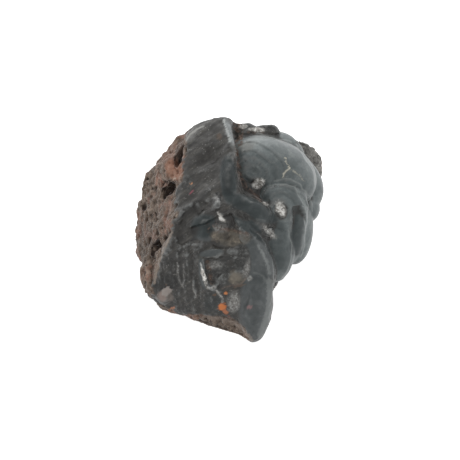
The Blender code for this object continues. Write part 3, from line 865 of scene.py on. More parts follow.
    # Spots and lines of other minerals and of grime, among them painted highlights and painted
    # shade.
    flecks: tuple[Fleck, ...] = (
        Fleck(Patch((-2.3, -23.0), (1.3, 1.1), 20), 1.0, (0.50, 0.16, 0.05)),
        Fleck(Patch((-1.3, -24.5), (0.9, 0.7), -20), 0.9, (0.36, 0.14, 0.07)),
        Fleck(Patch((-0.4, -26.0), (0.5, 0.5)), 0.8, (0.13, 0.055, 0.04)),
        Fleck(Patch((-1.2, -18.9), (0.6, 0.5)), 1.0, (0.50, 0.19, 0.07)),
        Fleck(Patch((-4.6, -19.5), (0.45, 0.4)), 0.7, (0.14, 0.08, 0.05)),
        Fleck(Patch((-17.2, -23.4), (0.7, 0.45), 20), 0.9, (0.38, 0.17, 0.10)),
        Fleck(Patch((-18.3, -24.3), (0.5, 0.4)), 0.8, (0.38, 0.17, 0.10)),
        Fleck(Patch((-19.2, -16.5), (0.35, 0.35)), 0.6, (0.13, 0.075, 0.05)),
        Fleck(Patch((-11.8, 13.7), (0.5, 0.45)), 1.0, (0.40, 0.21, 0.12)),
        Fleck(Patch((-11.5, 11.4), (1.1, 0.3), 45), 1.0, (0.19, 0.06, 0.075)),
        Fleck(Patch((-3.2, 28.1), (0.8, 1.0)), 0.6, (0.10, 0.07, 0.05)),
        Fleck(Patch((5.8, -23.2), (0.75, 0.65)), 0.8, (0.21, 0.125, 0.125)),
        Fleck(Patch((2.9, -16.7), (2.1, 0.35), 14), 0.6, (0.12, 0.085, 0.062)),
        Fleck(Patch((-19.8, 7.9), (0.6, 0.35)), 0.9, (0.16, 0.085, 0.062)),
        Fleck(Patch((-18.2, 7.7), (0.35, 0.45)), 0.9, (0.16, 0.08, 0.058)),
        Fleck(Patch((-24.7, 9.5), (0.35, 0.35)), 0.8, (0.2, 0.12, 0.10)),
        Fleck(Patch((-16.8, 15.5), (0.35, 0.3)), 1.0, (0.4, 0.33, 0.27)),
        Fleck(Patch((-21.8, 18.8), (0.35, 0.3)), 0.7, (0.3, 0.25, 0.21)),
        Fleck(Patch((-19.1, -18.5), (1.7, 1.3), 30), 0.8, (0.34, 0.30, 0.275)),
        Fleck(Patch((-20.3, -19.9), (1.5, 1.6)), 0.7, (0.27, 0.21, 0.185)),
        Fleck(Patch((-18.2, -20.3), (1.3, 1.2), -30), 0.6, (0.22, 0.19, 0.17)),
        # Painted highlights: the lit strip down the peak and the light grey beside it, and a thin
        # highlight along the plate's upper-left edge with a soft light patch at its lower end.
        Fleck(Rope(((-1.8, 33), (-1.2, 31), (-0.4, 28.4), (0.1, 26.6)), 0.15), 0.75,
              (0.42, 0.44, 0.43)),
        Fleck(Patch((-0.2, 29.6), (1.0, 3.8), 16), 0.5, (0.30, 0.325, 0.33)),
        Fleck(Rope(((-13.1, 27), (-11.8, 28.8), (-9.9, 30.2), (-8, 31.2)), 0.1), 0.6,
              (0.34, 0.34, 0.32)),
        Fleck(Patch((-12, 27.6), (1.4, 0.9), 50), 0.35, (0.2, 0.2, 0.19)),
        Fleck(Patch((-17.2, 18.4), (2.4, 3.4), 20), 0.6, (0.33, 0.165, 0.105)),
        Fleck(Patch((-15.6, 24.2), (1.2, 3.2), -14), 0.55, (0.07, 0.045, 0.035)),
        Fleck(Patch((-17.8, 23.4), (4.0, 2.4), 45), 0.5, (0.21, 0.12, 0.088)),
        Fleck(Rope(((16.5, 21.6), (17.1, 19.8), (18, 18.5), (16.8, 17.7), (16.2, 17), (16, 15.9)),
                   0.05), 0.95, (0.42, 0.40, 0.33)),
        Fleck(Rope(((17.9, 18.5), (19.2, 17.6), (21, 16.2), (22.4, 14.6)), 0.0), 0.75,
              (0.32, 0.31, 0.26)),
        Fleck(Rope(((-17.5, -0.6), (-19.7, -5.6), (-21.2, -8.9), (-22.2, -12), (-22.7, -16)), 0.2),
              0.75, (0.24, 0.195, 0.16)),
        Fleck(Rope(((-8, -26.3), (-1, -27.4), (3.4, -29.6), (6.4, -33)), 0.35), 0.55,
              (0.27, 0.22, 0.185)),
        Fleck(Patch((1.8, -14.1), (1.9, 1.4)), 0.45, (0.22, 0.195, 0.155)),
        Fleck(Patch((4.6, -2.6), (1.6, 1.4)), 0.5, (0.075, 0.064, 0.048)),
        # Painted shade over the spine's crest.
        Fleck(Patch((-0.7, 16), (1.9, 5.5), 2), 0.5, (0.010, 0.013, 0.014)),
        Fleck(Patch((4.8, 25), (2.4, 1.5), 10), 0.3, (0.14, 0.12, 0.095)),
        Fleck(Patch((0.6, -2.2), (2.6, 1.2), -8), 0.35, (0.06, 0.05, 0.037)),
        Fleck(Rope(((-3.6, -0.4), (-1, 0.5), (2, -0.2), (4.4, -0.6), (5.8, -2)), 0.0), 0.5,
              (0.15, 0.1, 0.078)),
        Fleck(Rope(((-2.6, -17.6), (0.6, -16.6), (3.4, -16.2), (4.8, -14.6)), 0.0), 0.5,
              (0.17, 0.12, 0.095)),
        # Painted highlight down the finger's upper right rim.
        Fleck(Rope(((8.4, -4.8), (9.9, -7.4), (11.1, -9.6), (11.9, -13)), 0.25), 0.35,
              (0.26, 0.275, 0.265)),
        Fleck(Rope(((20.1, 26.3), (23.6, 25.4), (26.2, 24.1), (28.3, 21.6), (28.4, 18.6)), 0.2),
              0.55, (0.05, 0.047, 0.042)),
        Fleck(Patch((-25.5, -3.5), (3, 6)), 0.5, (0.065, 0.048, 0.036)),
        Fleck(Patch((-19.5, 4), (2.6, 4)), 0.3, (0.08, 0.058, 0.044)),
        Fleck(Patch((-18.2, -15.9), (4.2, 2.3), 10), 0.5, (0.012, 0.013, 0.013)),
        # Down the lower-left flutes: near-black lines darken the grooves, and grey lines are painted
        # streak highlights.
        Fleck(Rope(((-11.6, -6.9), (-11.2, -11.7), (-11.4, -15.9)), 0.0), 0.7,
              (0.016, 0.013, 0.011)),
        Fleck(Rope(((-17.4, -8.6), (-17.6, -12), (-16.6, -15.4)), 0.0), 0.5,
              (0.012, 0.012, 0.012)),
        Fleck(Rope(((-12.7, -8.4), (-12.4, -12.4), (-12.8, -16)), 0.0), 0.45,
              (0.10, 0.10, 0.094)),
        Fleck(Rope(((-9.7, -16.8), (-9.3, -19.8), (-9.4, -22.8)), 0.0), 0.5,
              (0.014, 0.014, 0.013)),
        Fleck(Rope(((-8.6, -18), (-8.2, -20.4), (-8.4, -23.2)), 0.0), 0.35,
              (0.10, 0.10, 0.094)),
        Fleck(Rope(((-13.5, -23.3), (-11.9, -23.9), (-10.2, -23.7)), 0.0), 0.45,
              (0.13, 0.13, 0.12)),
        # Painted highlights: a light rim along the eye lobe's outer right rim, and a wider one down
        # the finger's right edge.
        Fleck(Rope(((19.5, 13), (21.6, 9.3), (22.7, 5.6), (23.6, 2)), 0.3), 0.35,
              (0.24, 0.265, 0.26)),
        Fleck(Rope(((11.8, -15.5), (12.1, -20.5), (11.6, -24.5), (10.4, -28.5), (9.2, -31.5)), 0.7),
              0.35, (0.26, 0.275, 0.265)))


@dataclass
class Skin:
    """The stone's finely modelled surface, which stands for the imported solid."""

    form: StoneForm
    face: Face
    # The mesh, and how it is drawn onto the form.
    voxel: float = 0.37
    inset: float = 0.02
    rounds: int = 3
    probe: float = 0.05
    stride: float = 1.2
    least_slope: float = 0.3
    drift_rounds: int = 3
    softening: float = 0.25

    # The relief.
    uneven: Crumble = Crumble(6.5, 0.9, 0.8, 3)
    plate_evenness: float = 0.75
    polish_evenness: float = 0.85
    crust_drop: float = 0.35
    crust_crest: float = 0.35
    crust_lumps: Crumble = Crumble(2.0, 0.34, 0.6, 4)
    crust_holes: Crumble = Crumble(3.1, 1.0, 0.7, 3, 40.0)
    hole_depth: float = 1.3
    pores: Pores = Pores(260, (0.35, 0.8), (0.2, 0.6), SEED)
    flutes: Crumble = Crumble(1.0, 0.45, 0.7, 3)
    flute_widths: Place = (1.1, 7.0, 5.0)
    crust_breaks: Facets = Facets(150, 0.13, SEED + 1, -0.54, 0.405, 0.9)
    plate_grain: Crumble = Crumble(1.3, 0.11, 0.8, 3)
    plate_lumps: Crumble = Crumble(2.6, 1.0, 0.8, 3, 11.0)
    lump_height: float = 0.08
    lower_lump_height: float = 0.22
    smooth_lumps: Crumble = Crumble(4.0, 0.10, 1.2, 2)
    fresh_breaks: Facets = Facets(7000, 0.25, SEED + 2, -0.08, 0.08, 0.4, GLEAM)
    knob_breaks: Facets = Facets(400, 0.12, SEED + 3, -0.2, 0.2)
    knob_lumps: Crumble = Crumble(1.5, 0.25, 0.7, 3)
    knob_drop: float = 0.2
    lip_share: float = 0.45
    ring_height: float = 0.007
    ring_pace: float = 5.5
    band_pace: float = 2.4
    line_wander: float = 0.6
    olive_calm: float = 0.6
    broken_share: float = 0.6
    peak_calm: float = 0.8

    # Clouds that the regions' edges wander in, by their widths and their shares.
    near_width: float = 1.7
    far_width: float = 5.0
    fray_width: float = 0.5
    edge_wander: Spot = (1.3, 1.2)
    rim_wander: float = 0.4
    side_wander: float = 0.15
    tinge_wander: float = 0.4
    fray: float = 0.45

    # Where masks rise, from the first value to the second.
    front: Span = (-0.3, 0.0)
    facing: Span = (-0.2, 0.15)
    tinged: Span = (-0.2, 0.1)
    sides: Span = (0.05, -0.15)
    top: Span = (0.0, 0.4)
    lobe_edge: Span = (-0.1, 0.5)
    knob_edge: Span = (0.6, 0.1)
    crust_edge: Span = (-0.4, 0.4)
    rim_edge: Span = (-0.3, 0.3)
    rust_edge: Span = (0.45, -0.1)
    painted_highlight_edge: Span = (0.42, 0.1)
    hole_edge: Span = (0.35, 0.9)
    fluted: Span = (-5.0, -10.0)
    lower: Span = (4.0, -3.0)
    peak: Span = (26.0, 30.0)
    bare_peak: Span = (27.0, 30.0)
    peak_front: Span = (-8.0, -4.0)
    plate_edge: Span = (-1.0, 1.5)
    plate_front: Span = (-4.0, 1.0)
    lifted: Span = (0.05, 0.6)
    patch_fade: float = 0.3
    polish_fade: float = 0.8

    # Rubbed edges, clefts darkened by grime and painted shade, and hollows darkened by painted
    # shade, from the skin's shape at three widths.
    shape_rounds: tuple[int, int, int] = (6, 60, 400)
    fine_shape: Span = (0.03, 0.14)
    broad_shape: Span = (0.12, 0.5)
    wide_shape: Span = (0.1, 1.3)
    knob_spared_dirt_and_shade: float = 0.75
    knob_light: float = 0.9

    def __post_init__(self) -> None:
        """Prepares the turn between the resting stone and its viewed face."""
        self.turn = np.array(Matrix.Rotation(FACE_LEAN, 3, "X"))
        self.middle = np.array(FACE_MIDDLE)

    def remesh(self) -> bpy.types.Object:
        """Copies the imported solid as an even, fine mesh.

        Returns:
            The new object.
        """
        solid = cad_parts[NODE]
        piece = bpy.data.objects.new("hematite_skin", solid.data.copy())
        piece.data.materials.clear()
        bpy.context.scene.collection.objects.link(piece)
        remesh = piece.modifiers.new("fine mesh", "REMESH")
        remesh.mode = "VOXEL"
        remesh.voxel_size = self.voxel * MM
        fine = bpy.data.meshes.new_from_object(
            piece.evaluated_get(bpy.context.evaluated_depsgraph_get()))
        piece.modifiers.clear()
        piece.data = fine
        fine.name = piece.name
        return piece

    def read(self, mesh: bpy.types.Mesh) -> np.ndarray:
        """Reads a mesh's points in the coordinates that the stone is shaped in.

        Args:
            mesh: The mesh.

        Returns:
            One row for each point.
        """
        flat = np.empty(len(mesh.vertices) * 3)
        mesh.vertices.foreach_get("co", flat)
        return (flat.reshape(-1, 3) / MM - self.middle) @ self.turn

    def write(self, mesh: bpy.types.Mesh, points: np.ndarray) -> None:
        """Moves a mesh's points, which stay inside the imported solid's box.

        Args:
            mesh: The mesh.
            points: One row for each point.
        """
        placed = points @ self.turn.T + self.middle
        low = np.array(cad_box[0]) / MM + self.inset
        high = np.array(cad_box[1]) / MM - self.inset
        low[2] = 0.0
        placed = np.clip(placed, low, high) * MM
        mesh.vertices.foreach_set("co", placed.ravel())
        mesh.update()

    def average(self, values: np.ndarray, rounds: int, share: float = 0.5) -> np.ndarray:
        """Blends each point's values with its neighbours'.

        Args:
            values: One row for each point.
            rounds: How many times they are blended.
            share: The neighbours' share.

        Returns:
            The blended rows.
        """
        first, second = self.edges[:, 0], self.edges[:, 1]
        count = len(values)
        degree = np.bincount(first, minlength=count) + np.bincount(second, minlength=count)
        columns = values.reshape(count, -1).copy()
        for _ in range(rounds):
            for column in columns.T:
                total = np.bincount(first, column[second], count)
                total += np.bincount(second, column[first], count)
                column += share * (total / degree - column)
        return columns.reshape(values.shape)

    def normals(self, points: np.ndarray) -> np.ndarray:
        """Works out the outward normals of the mesh as it now is.

        Args:
            points: One row for each point.

        Returns:
            Unit rows.
        """
        around = points[self.corners]
        across = np.cross(around[:, 2] - around[:, 0], around[:, 3] - around[:, 1])
        total = np.zeros_like(points)
        for corner in range(4):
            for axis in range(3):
                total[:, axis] += np.bincount(self.corners[:, corner], across[:, axis],
                                              len(points))
        return total / np.maximum(np.linalg.norm(total, axis=1), 1e-9)[:, None]

    def settle(self, points: np.ndarray, core_relief: np.ndarray) -> np.ndarray:
        """Draws points onto the stone's exact form.

        Args:
            points: One row for each point.
            core_relief: How far the broken mass stands proud.

        Returns:
            The points on the form.
        """
        for turn in range(self.rounds):
            gap = self.form.distance(points, core_relief)
            slope = np.empty_like(points)
            for axis in range(3):
                moved = points.copy()
                moved[:, axis] += self.probe
                slope[:, axis] = (self.form.distance(moved, core_relief) - gap) / self.probe
            steep = np.maximum((slope ** 2).sum(axis=1), self.least_slope)
            move = np.clip(gap / steep, -self.stride, self.stride)
            points = points - move[:, None] * slope
            if turn < self.rounds - 1:
                outward = self.normals(points)
                drift = self.average(points, self.drift_rounds) - points
                points = points + drift - (drift * outward).sum(axis=1)[:, None] * outward
        return points

    def left_of_plate(self, places: np.ndarray) -> np.ndarray:
        """Measures how far places on the face are to the left of the plate's edge."""
        edge = np.array(self.face.crust_edge[::-1])
        return np.interp(places[:, 1], edge[:, 1], edge[:, 0]) - places[:, 0]

    def off_peak(self, points: np.ndarray, seen: np.ndarray, span: Span) -> np.ndarray:
        """Gives what is left of the crust at each point, as little of it is on the peak."""
        on_peak = ramp(seen[:, 1], *span) * ramp(points[:, 2], *self.peak_front)
        return 1.0 - self.peak_calm * on_peak

    def regions(self, points: np.ndarray, seen: np.ndarray,
                outward: np.ndarray) -> dict[Region, np.ndarray]:
        """Works out which region each point is in.

        Args:
            points: The points in space.
            seen: The same points as seen on the face.
            outward: The surface's normals.

        Returns:
            A mask from 0 to 1 for each region.
        """
        core = self.form.core(points, np.zeros(len(points)))
        lobe = ramp(core - self.form.kidneys(points).min(axis=0), *self.lobe_edge)
        near, far = cloudy(points, self.near_width), cloudy(points, self.far_width)
        left = self.left_of_plate(seen)
        left += self.edge_wander[0] * near + self.edge_wander[1] * far
        rim = np.array(self.face.rim_edge)
        below = np.interp(seen[:, 0], rim[:, 0], rim[:, 1]) - seen[:, 1] + self.rim_wander * near
        hidden = ramp(outward[:, 2] + self.side_wander * near, *self.sides) * (points[:, 2] < 0.0)
        crust = strongest((ramp(left, *self.crust_edge), ramp(below, *self.rim_edge), hidden))
        crust = crust * (1.0 - lobe) * self.off_peak(points, seen, self.bare_peak)
        front, tinged = ramp(outward[:, 2], *self.front), ramp(outward[:, 2], *self.tinged)
        masks = {Region.CRUST: crust, Region.LOBE: lobe}
        for region, patches in ((Region.BROKEN, self.face.broken),
                                (Region.POLISH, self.face.polish),
                                (Region.OLIVE, self.face.olive)):
            mask = strongest(patch.mask(points, seen, self.patch_fade) for patch in patches)
            masks[region] = mask * front * (1.0 - crust)
        masks[Region.POLISH] = masks[Region.POLISH] * (1.0 - masks[Region.BROKEN])
        rusty = strongest(ramp(line.distance(seen), *self.rust_edge) for line in self.face.rust)
        masks[Region.RUST] = rusty * front
        knob = ramp(self.form.knob.distance(points) - core, *self.knob_edge)
        masks[Region.KNOB] = knob * (1.0 - lobe)
        strayed = seen + self.tinge_wander * near[:, None]
        # Lighter grains with painted glints, and darker blue-green that is partly painted shade.
        for region, tinges in ((Region.GLITTER, self.face.glitter), (Region.TEAL_AND_SHADE, self.face.teal_and_shade)):
            mask = strongest(tinge.mask(points, strayed) for tinge in tinges)
            masks[region] = mask * tinged * (1.0 - crust)
        return masks

    def relief(self, points: np.ndarray, seen: np.ndarray, outward: np.ndarray,
               masks: dict[Region, np.ndarray]) -> np.ndarray:
        """Works out how far the surface stands proud of the plain form.

        Args:
            points: The points in space.
            seen: The same points as seen on the face.
            outward: The surface's normals.
            masks: The regions.

        Returns:
            The height at each point.
        """
        crust, lobe = masks[Region.CRUST], masks[Region.LOBE]
        smooth = np.maximum(lobe, masks[Region.POLISH])
        facing = ramp(outward[:, 2], *self.facing)
        height = crust * (self.crust_lumps.relief(points) - self.crust_drop * facing)
        holes = ramp(self.crust_holes.relief(points), *self.hole_edge)
        height -= crust * self.hole_depth * holes
        height += crust * self.pores.relief(points, crust)
        fluted = ramp(seen[:, 1], *self.fluted)
        along = np.column_stack([seen, points[:, 2]]) / self.flute_widths
        height += crust * fluted * self.flutes.relief(along)
        height += crust * (1.0 - facing) * self.crust_breaks.relief(points, outward)
        height = np.minimum(height, self.crust_crest) * self.off_peak(points, seen, self.peak)
        rough = (1.0 - crust) * (1.0 - smooth) * (1.0 - self.olive_calm * masks[Region.OLIVE])
        striae = sum(grain.relief(points, seen) for grain in self.face.grains)
        height += rough * (striae + self.plate_grain.relief(points))
        lumpy = self.lump_height + self.lower_lump_height * ramp(seen[:, 1], *self.lower)
        height += rough * facing * lumpy * self.plate_lumps.relief(points)
        height += smooth * self.smooth_lumps.relief(points)
        fresh = np.maximum(self.broken_share * masks[Region.BROKEN], masks[Region.GLITTER])
        height += fresh * self.fresh_breaks.relief(points, outward)
        knob = self.knob_breaks.relief(points, outward) + self.knob_lumps.relief(points)
        height += masks[Region.KNOB] * (knob - self.knob_drop)
        wandering = seen + self.line_wander * self.form.wander(points)[:, :2]
        ledges = sum(lip.relief(wandering) for lip in self.face.lips)
        height += self.lip_share * facing * ledges
        rings = np.sin(self.form.eye.rings(points) * self.ring_pace)
        return height + lobe * self.ring_height * rings

    def build(self) -> bpy.types.Object:
        """Models the skin and stores its masks.

        Returns:
            The finished piece.
        """
        piece = self.remesh()
        mesh = piece.data
        flat = np.empty(len(mesh.edges) * 2, dtype=np.int64)
        mesh.edges.foreach_get("vertices", flat)
        self.edges = flat.reshape(-1, 2)
        self.corners = np.array([tuple(face.vertices) for face in mesh.polygons])
        points = self.read(mesh)
        seen = as_seen(points)
        polish = strongest(patch.mask(points, seen, self.polish_fade)
                           for patch in self.face.polish)
        plate = ramp(-self.left_of_plate(points), *self.plate_edge)
        plate *= ramp(points[:, 2], *self.plate_front)
        even = np.maximum(polish, self.plate_evenness * plate)
        uneven = self.uneven.relief(points) * (1.0 - self.polish_evenness * even)
        points = self.settle(points, uneven)
        outward = self.normals(points)
        seen = as_seen(points)
        masks = self.regions(points, seen, outward)
        height = self.relief(points, seen, outward, masks)
        lifted = ramp(points @ self.turn.T[:, 2] + self.middle[2], *self.lifted)
        points = points + (height * lifted)[:, None] * outward
        points = self.average(points, 1, self.softening)
        outward = self.normals(points)
        fine, broad, wide = (((points - self.average(points, rounds)) * outward).sum(axis=1)
                             for rounds in self.shape_rounds)
        knob = masks[Region.KNOB]
        masks[Region.EDGE] = ramp(fine, *self.fine_shape)
        # Painted shade with grime: clefts, where the skin bends inward, are darkened in the
        # material.
        cleft = np.maximum(ramp(-fine, *self.fine_shape), ramp(-broad, *self.broad_shape))
        masks[Region.CLEFT] = cleft * (1.0 - self.knob_spared_dirt_and_shade * knob)
        # Painted shade: wide hollows, which darken the crust in the material.
        masks[Region.HOLLOW_SHADE] = ramp(-wide, *self.wide_shape) * (1.0 - self.knob_light * knob)
        masks[Region.RING] = 0.5 + 0.5 * np.sin(self.form.eye.rings(points) * self.band_pace)
        self.write(mesh, points)
        for region, mask in masks.items():
            layer = mesh.attributes.new(region.value, "FLOAT", "POINT")
            layer.data.foreach_set("value", np.clip(mask, 0.0, 1.0))
        self.spot(mesh, points, seen, outward)
        mesh.shade_smooth()
        logger.info("%s: %d quads", piece.name, len(mesh.polygons))
        return piece

    def spot(self, mesh: bpy.types.Mesh, points: np.ndarray, seen: np.ndarray,
             outward: np.ndarray) -> None:
        """Stores the flecks, some of them painted highlights and painted shade, and the painted
        highlights along the ledges as a colour with its mask.

        Args:
            mesh: The mesh that carries them.
            points: The points in space.
            seen: The same points as seen on the face.
            outward: The surface's normals.
        """
        front, top = ramp(outward[:, 2], *self.front), ramp(outward[:, 2], *self.top)
        frayed = seen + self.fray * cloudy(points, self.fray_width)[:, None]
        spots = [(fleck.colour, front * fleck.mask(points, frayed)) for fleck in self.face.flecks]
        wandering = seen + self.line_wander * self.form.wander(points)[:, :2]
        # Painted highlights along the ledges, strongest where the skin faces the viewer.
        for lip in self.face.lips:
            line = ramp(Rope(lip.points, 0.0).distance(wandering), *self.painted_highlight_edge)
            spots.append((self.face.painted_highlight_colour, lip.painted_highlight * line * top))
        colours = np.zeros((len(points), 4))
        for colour, mask in spots:
            stronger = mask > colours[:, 3]
            colours[stronger, :3] = colour
            colours[stronger, 3] = mask[stronger]
        layer = mesh.attributes.new("fleck", "FLOAT_COLOR", "POINT")
        layer.data.foreach_set("color", colours.ravel())


Socket = bpy.types.NodeSocket
Sockets = bpy.types.bpy_prop_collection
Input = float | tuple[float, ...] | bpy.types.NodeSocket


@dataclass(frozen=True)
class Clouds:
    """Clouds of noise: how fine and detailed, and which noise becomes which value."""

    fineness: float
    detail: float
    roughness: float
    noise: Span
    value: Span = (0.0, 1.0)


@dataclass(frozen=True)
class Bumps:
    """Bumps of noise: how fine, detailed and high."""

    fineness: float
    detail: float
    roughness: float
    height: float


@dataclass(frozen=True)
class Grains:
    """Strewn grains: how fine and sparse, and how strongly they show."""

    fineness: float
    sparse: float = 0.0
    share: float = 1.0


class Graph:
    """Adds nodes to a tree and wires them up."""

    def __init__(self, tree: bpy.types.NodeTree) -> None:
        """Keeps the tree that is worked on."""
        self.tree = tree

    def add(self, kind: str, **settings: object) -> bpy.types.Node:
        """Adds a node.

        Args:
            kind: The node's type, without the words that all shader nodes share.
            settings: Its options.

        Returns:
            The node.
        """
        node = self.tree.nodes.new("ShaderNode" + kind)
        for name, value in settings.items():
            setattr(node, name, value)
        return node

    def feed(self, socket: Socket, value: Input) -> None:
        """Sets a socket, or links it if the value comes from a node.

        Args:
            socket: The socket.
            value: A number, a colour or another node's output.
        """
        if isinstance(value, bpy.types.NodeSocket):
            self.tree.links.new(value, socket)
        elif socket.type == "RGBA":
            socket.default_value = (*value[:3], 1.0)
        else:
            socket.default_value = value

    def wire(self, node: bpy.types.Node, values: dict[int | str, Input]) -> bpy.types.Node:
        """Feeds several inputs of a node.

        Args:
            node: The node.
            values: What each input gets, by its number or name.

        Returns:
            The same node.
        """
        for key, value in values.items():
            self.feed(node.inputs[key], value)
        return node

    def math(self, operation: str, first: Input, second: Input, clamp: bool = False) -> Socket:
        """Works out a sum or the like, which clamp keeps from 0 to 1."""
        node = self.add("Math", operation=operation, use_clamp=clamp)
        return self.wire(node, {0: first, 1: second}).outputs[0]

    def times(self, first: Input, second: Input) -> Socket:
        """Multiplies two values."""
        return self.math("MULTIPLY", first, second)

    def fit(self, value: Input, low: Input, high: Input, to_low: Input = 0.0,
            to_high: Input = 1.0) -> Socket:
        """Maps the range from low to high softly onto the range from to_low to to_high."""
        node = self.add("MapRange", interpolation_type="SMOOTHSTEP")
        return self.wire(node, {0: value, 1: low, 2: high, 3: to_low, 4: to_high}).outputs[0]

    def mix(self, share: Input, first: Input, second: Input) -> Socket:
        """Mixes two colours; the share is the second one's."""
        node = self.add("Mix", data_type="RGBA")
        return self.wire(node, {0: share, 6: first, 7: second}).outputs[2]

    def blend(self, share: Input, first: Input, second: Input) -> Socket:
        """Blends two values; the share is the second one's."""
        node = self.add("Mix", data_type="FLOAT")
        return self.wire(node, {0: share, 2: first, 3: second}).outputs[0]

    def noise(self, place: Socket, scale: Input, detail: float, roughness: float,
              distortion: float = 0.0) -> Socket:
        """Adds cloudy noise, with values about 0.5."""
        values = {"Vector": place, "Scale": scale, "Detail": detail, "Roughness": roughness,
                  "Distortion": distortion}
        return self.wire(self.add("TexNoise"), values).outputs[0]

    def clouds(self, place: Socket, clouds: Clouds) -> Socket:
        """Adds clouds, as values that change softly."""
        cloud = self.noise(place, clouds.fineness, clouds.detail, clouds.roughness)
        return self.fit(cloud, *clouds.noise, *clouds.value)

    def bumps(self, place: Socket, bumps: Bumps) -> Socket:
        """Adds bumps, as a height."""
        cloud = self.noise(place, bumps.fineness, bumps.detail, bumps.roughness)
        return self.times(cloud, bumps.height)

    def stretch(self, place: Socket, turn: Place, scale: Place) -> Socket:
        """Turns and stretches coordinates.

        Args:
            place: The coordinates.
            turn: Degrees about x, y and z.
            scale: How fine the noise becomes along each axis.

        Returns:
            The new coordinates.
        """
        turned = self.add("Mapping", vector_type="POINT")
        turned.inputs["Rotation"].default_value = [math.radians(angle) for angle in turn]
        scaled = self.add("Mapping", vector_type="POINT")
        scaled.inputs["Scale"].default_value = scale
        self.feed(turned.inputs["Vector"], place)
        return self.wire(scaled, {"Vector": turned.outputs[0]}).outputs[0]

    def mask(self, name: str) -> Socket:
        """Reads a mask that the mesh carries."""
        return self.add("Attribute", attribute_name=name).outputs["Fac"]

    def place(self, group: bpy.types.NodeTree, **values: Input) -> bpy.types.Node:
        """Adds a node group, with its inputs by name."""
        return self.wire(self.add("Group", node_tree=group), values)


@dataclass
class Effects:
    """The node groups that the finishes share, each built once."""

    grain_warp: float = 0.4
    grain_rim: Span = (0.5, 0.25)
    mottle_twist: float = 0.4
    middle_rise: Span = (0.33, 0.52)
    light_rise: Span = (0.52, 0.68)
    patches: Clouds = Clouds(0.7, 4.0, 0.55, (0.35, 0.62), (0.35, 1.0))

    def start(self, name: str, inputs: dict[str, str],
              outputs: dict[str, str]) -> tuple[Graph, Sockets, Sockets]:
        """Starts a node group.

        Args:
            name: Its name.
            inputs: The kind of each input.
            outputs: The kind of each output.

        Returns:
            The graph, what the group is given and what it puts out.
        """
        tree = bpy.data.node_groups.new(name, "ShaderNodeTree")
        for way, sockets in (("INPUT", inputs), ("OUTPUT", outputs)):
            for label, kind in sockets.items():
                tree.interface.new_socket(label, in_out=way, socket_type="NodeSocket" + kind)
        source = tree.nodes.new("NodeGroupInput")
        result = tree.nodes.new("NodeGroupOutput")
        return Graph(tree), source.outputs, result.inputs

    @cached_property
    def grains(self) -> bpy.types.NodeTree:
        """Grains of a size, as a mask that is 1 on the grains, each with a tone of its own."""
        graph, given, result = self.start(
            "grains", {"Place": "Vector", "Fineness": "Float", "Sparse": "Float"},
            {"Mask": "Float", "Tone": "Float"})
        wobble = graph.wire(graph.add("TexNoise"),
                            {"Vector": given["Place"], "Scale": given["Fineness"]})
        warp = graph.wire(graph.add("VectorMath", operation="MULTIPLY_ADD"),
                          {0: wobble.outputs["Color"], 1: (self.grain_warp,) * 3,
                           2: given["Place"]})
        cells = graph.wire(graph.add("TexVoronoi", feature="F1"),
                           {"Vector": warp.outputs[0], "Scale": given["Fineness"]})
        tone = graph.wire(graph.add("SeparateColor"), {0: cells.outputs["Color"]})
        chosen = graph.math("GREATER_THAN", tone.outputs[0], given["Sparse"])
        rounded = graph.fit(cells.outputs["Distance"], *self.grain_rim)
        graph.feed(result["Mask"], graph.times(chosen, rounded))
        graph.feed(result["Tone"], tone.outputs[1])
        return graph.tree

    @cached_property
    def mottle(self) -> bpy.types.NodeTree:
        """Three colours that run into each other in clouds."""
        graph, given, result = self.start(
            "mottle", {"Place": "Vector", "Fineness": "Float", "Dark": "Color", "Middle": "Color",
                       "Light": "Color"}, {"Color": "Color"})
        cloud = graph.noise(given["Place"], given["Fineness"], 5.0, 0.6, self.mottle_twist)
        middle, light = graph.fit(cloud, *self.middle_rise), graph.fit(cloud, *self.light_rise)
        colour = graph.mix(middle, given["Dark"], given["Middle"])
        colour = graph.mix(light, colour, given["Light"])
        graph.feed(result["Color"], colour)
        return graph.tree

    @cached_property
    def creases(self) -> bpy.types.NodeTree:
        """Thin wandering lines, as a mask that is 1 on the lines."""
        graph, given, result = self.start(
            "creases", {"Place": "Vector", "Fineness": "Float", "Width": "Float"},
            {"Mask": "Float"})
        cloud = graph.noise(given["Place"], given["Fineness"], 3.0, 0.6)
        off = graph.math("ABSOLUTE", graph.math("SUBTRACT", cloud, 0.5), 0.0)
        graph.feed(result["Mask"], graph.fit(off, 0.0, given["Width"], 1.0, 0.0))
        return graph.tree

    @cached_property
    def wear_and_shade(self) -> bpy.types.NodeTree:
        """Rubbed, lighter edges, and clefts darkened by grime and painted shade."""
        graph, given, result = self.start(
            "wear_and_shade", {"Color": "Color", "Edge": "Float", "Cleft": "Float", "Rubbed": "Color",
                     "Dirt": "Color", "Place": "Vector"}, {"Color": "Color"})
        patchy = graph.clouds(given["Place"], self.patches)
        edge, cleft = (graph.times(given[name], patchy) for name in ("Edge", "Cleft"))
        rubbed = graph.mix(edge, given["Color"], given["Rubbed"])
        graph.feed(result["Color"], graph.mix(cleft, rubbed, given["Dirt"]))
        return graph.tree


@dataclass(frozen=True)
class Tones:
    """The dark, middle and light of a mottled surface, its fineness and its gloss."""

    dark: Place
    middle: Place
    light: Place
    fineness: float
    roughness: float
    metallic: float = 0.0


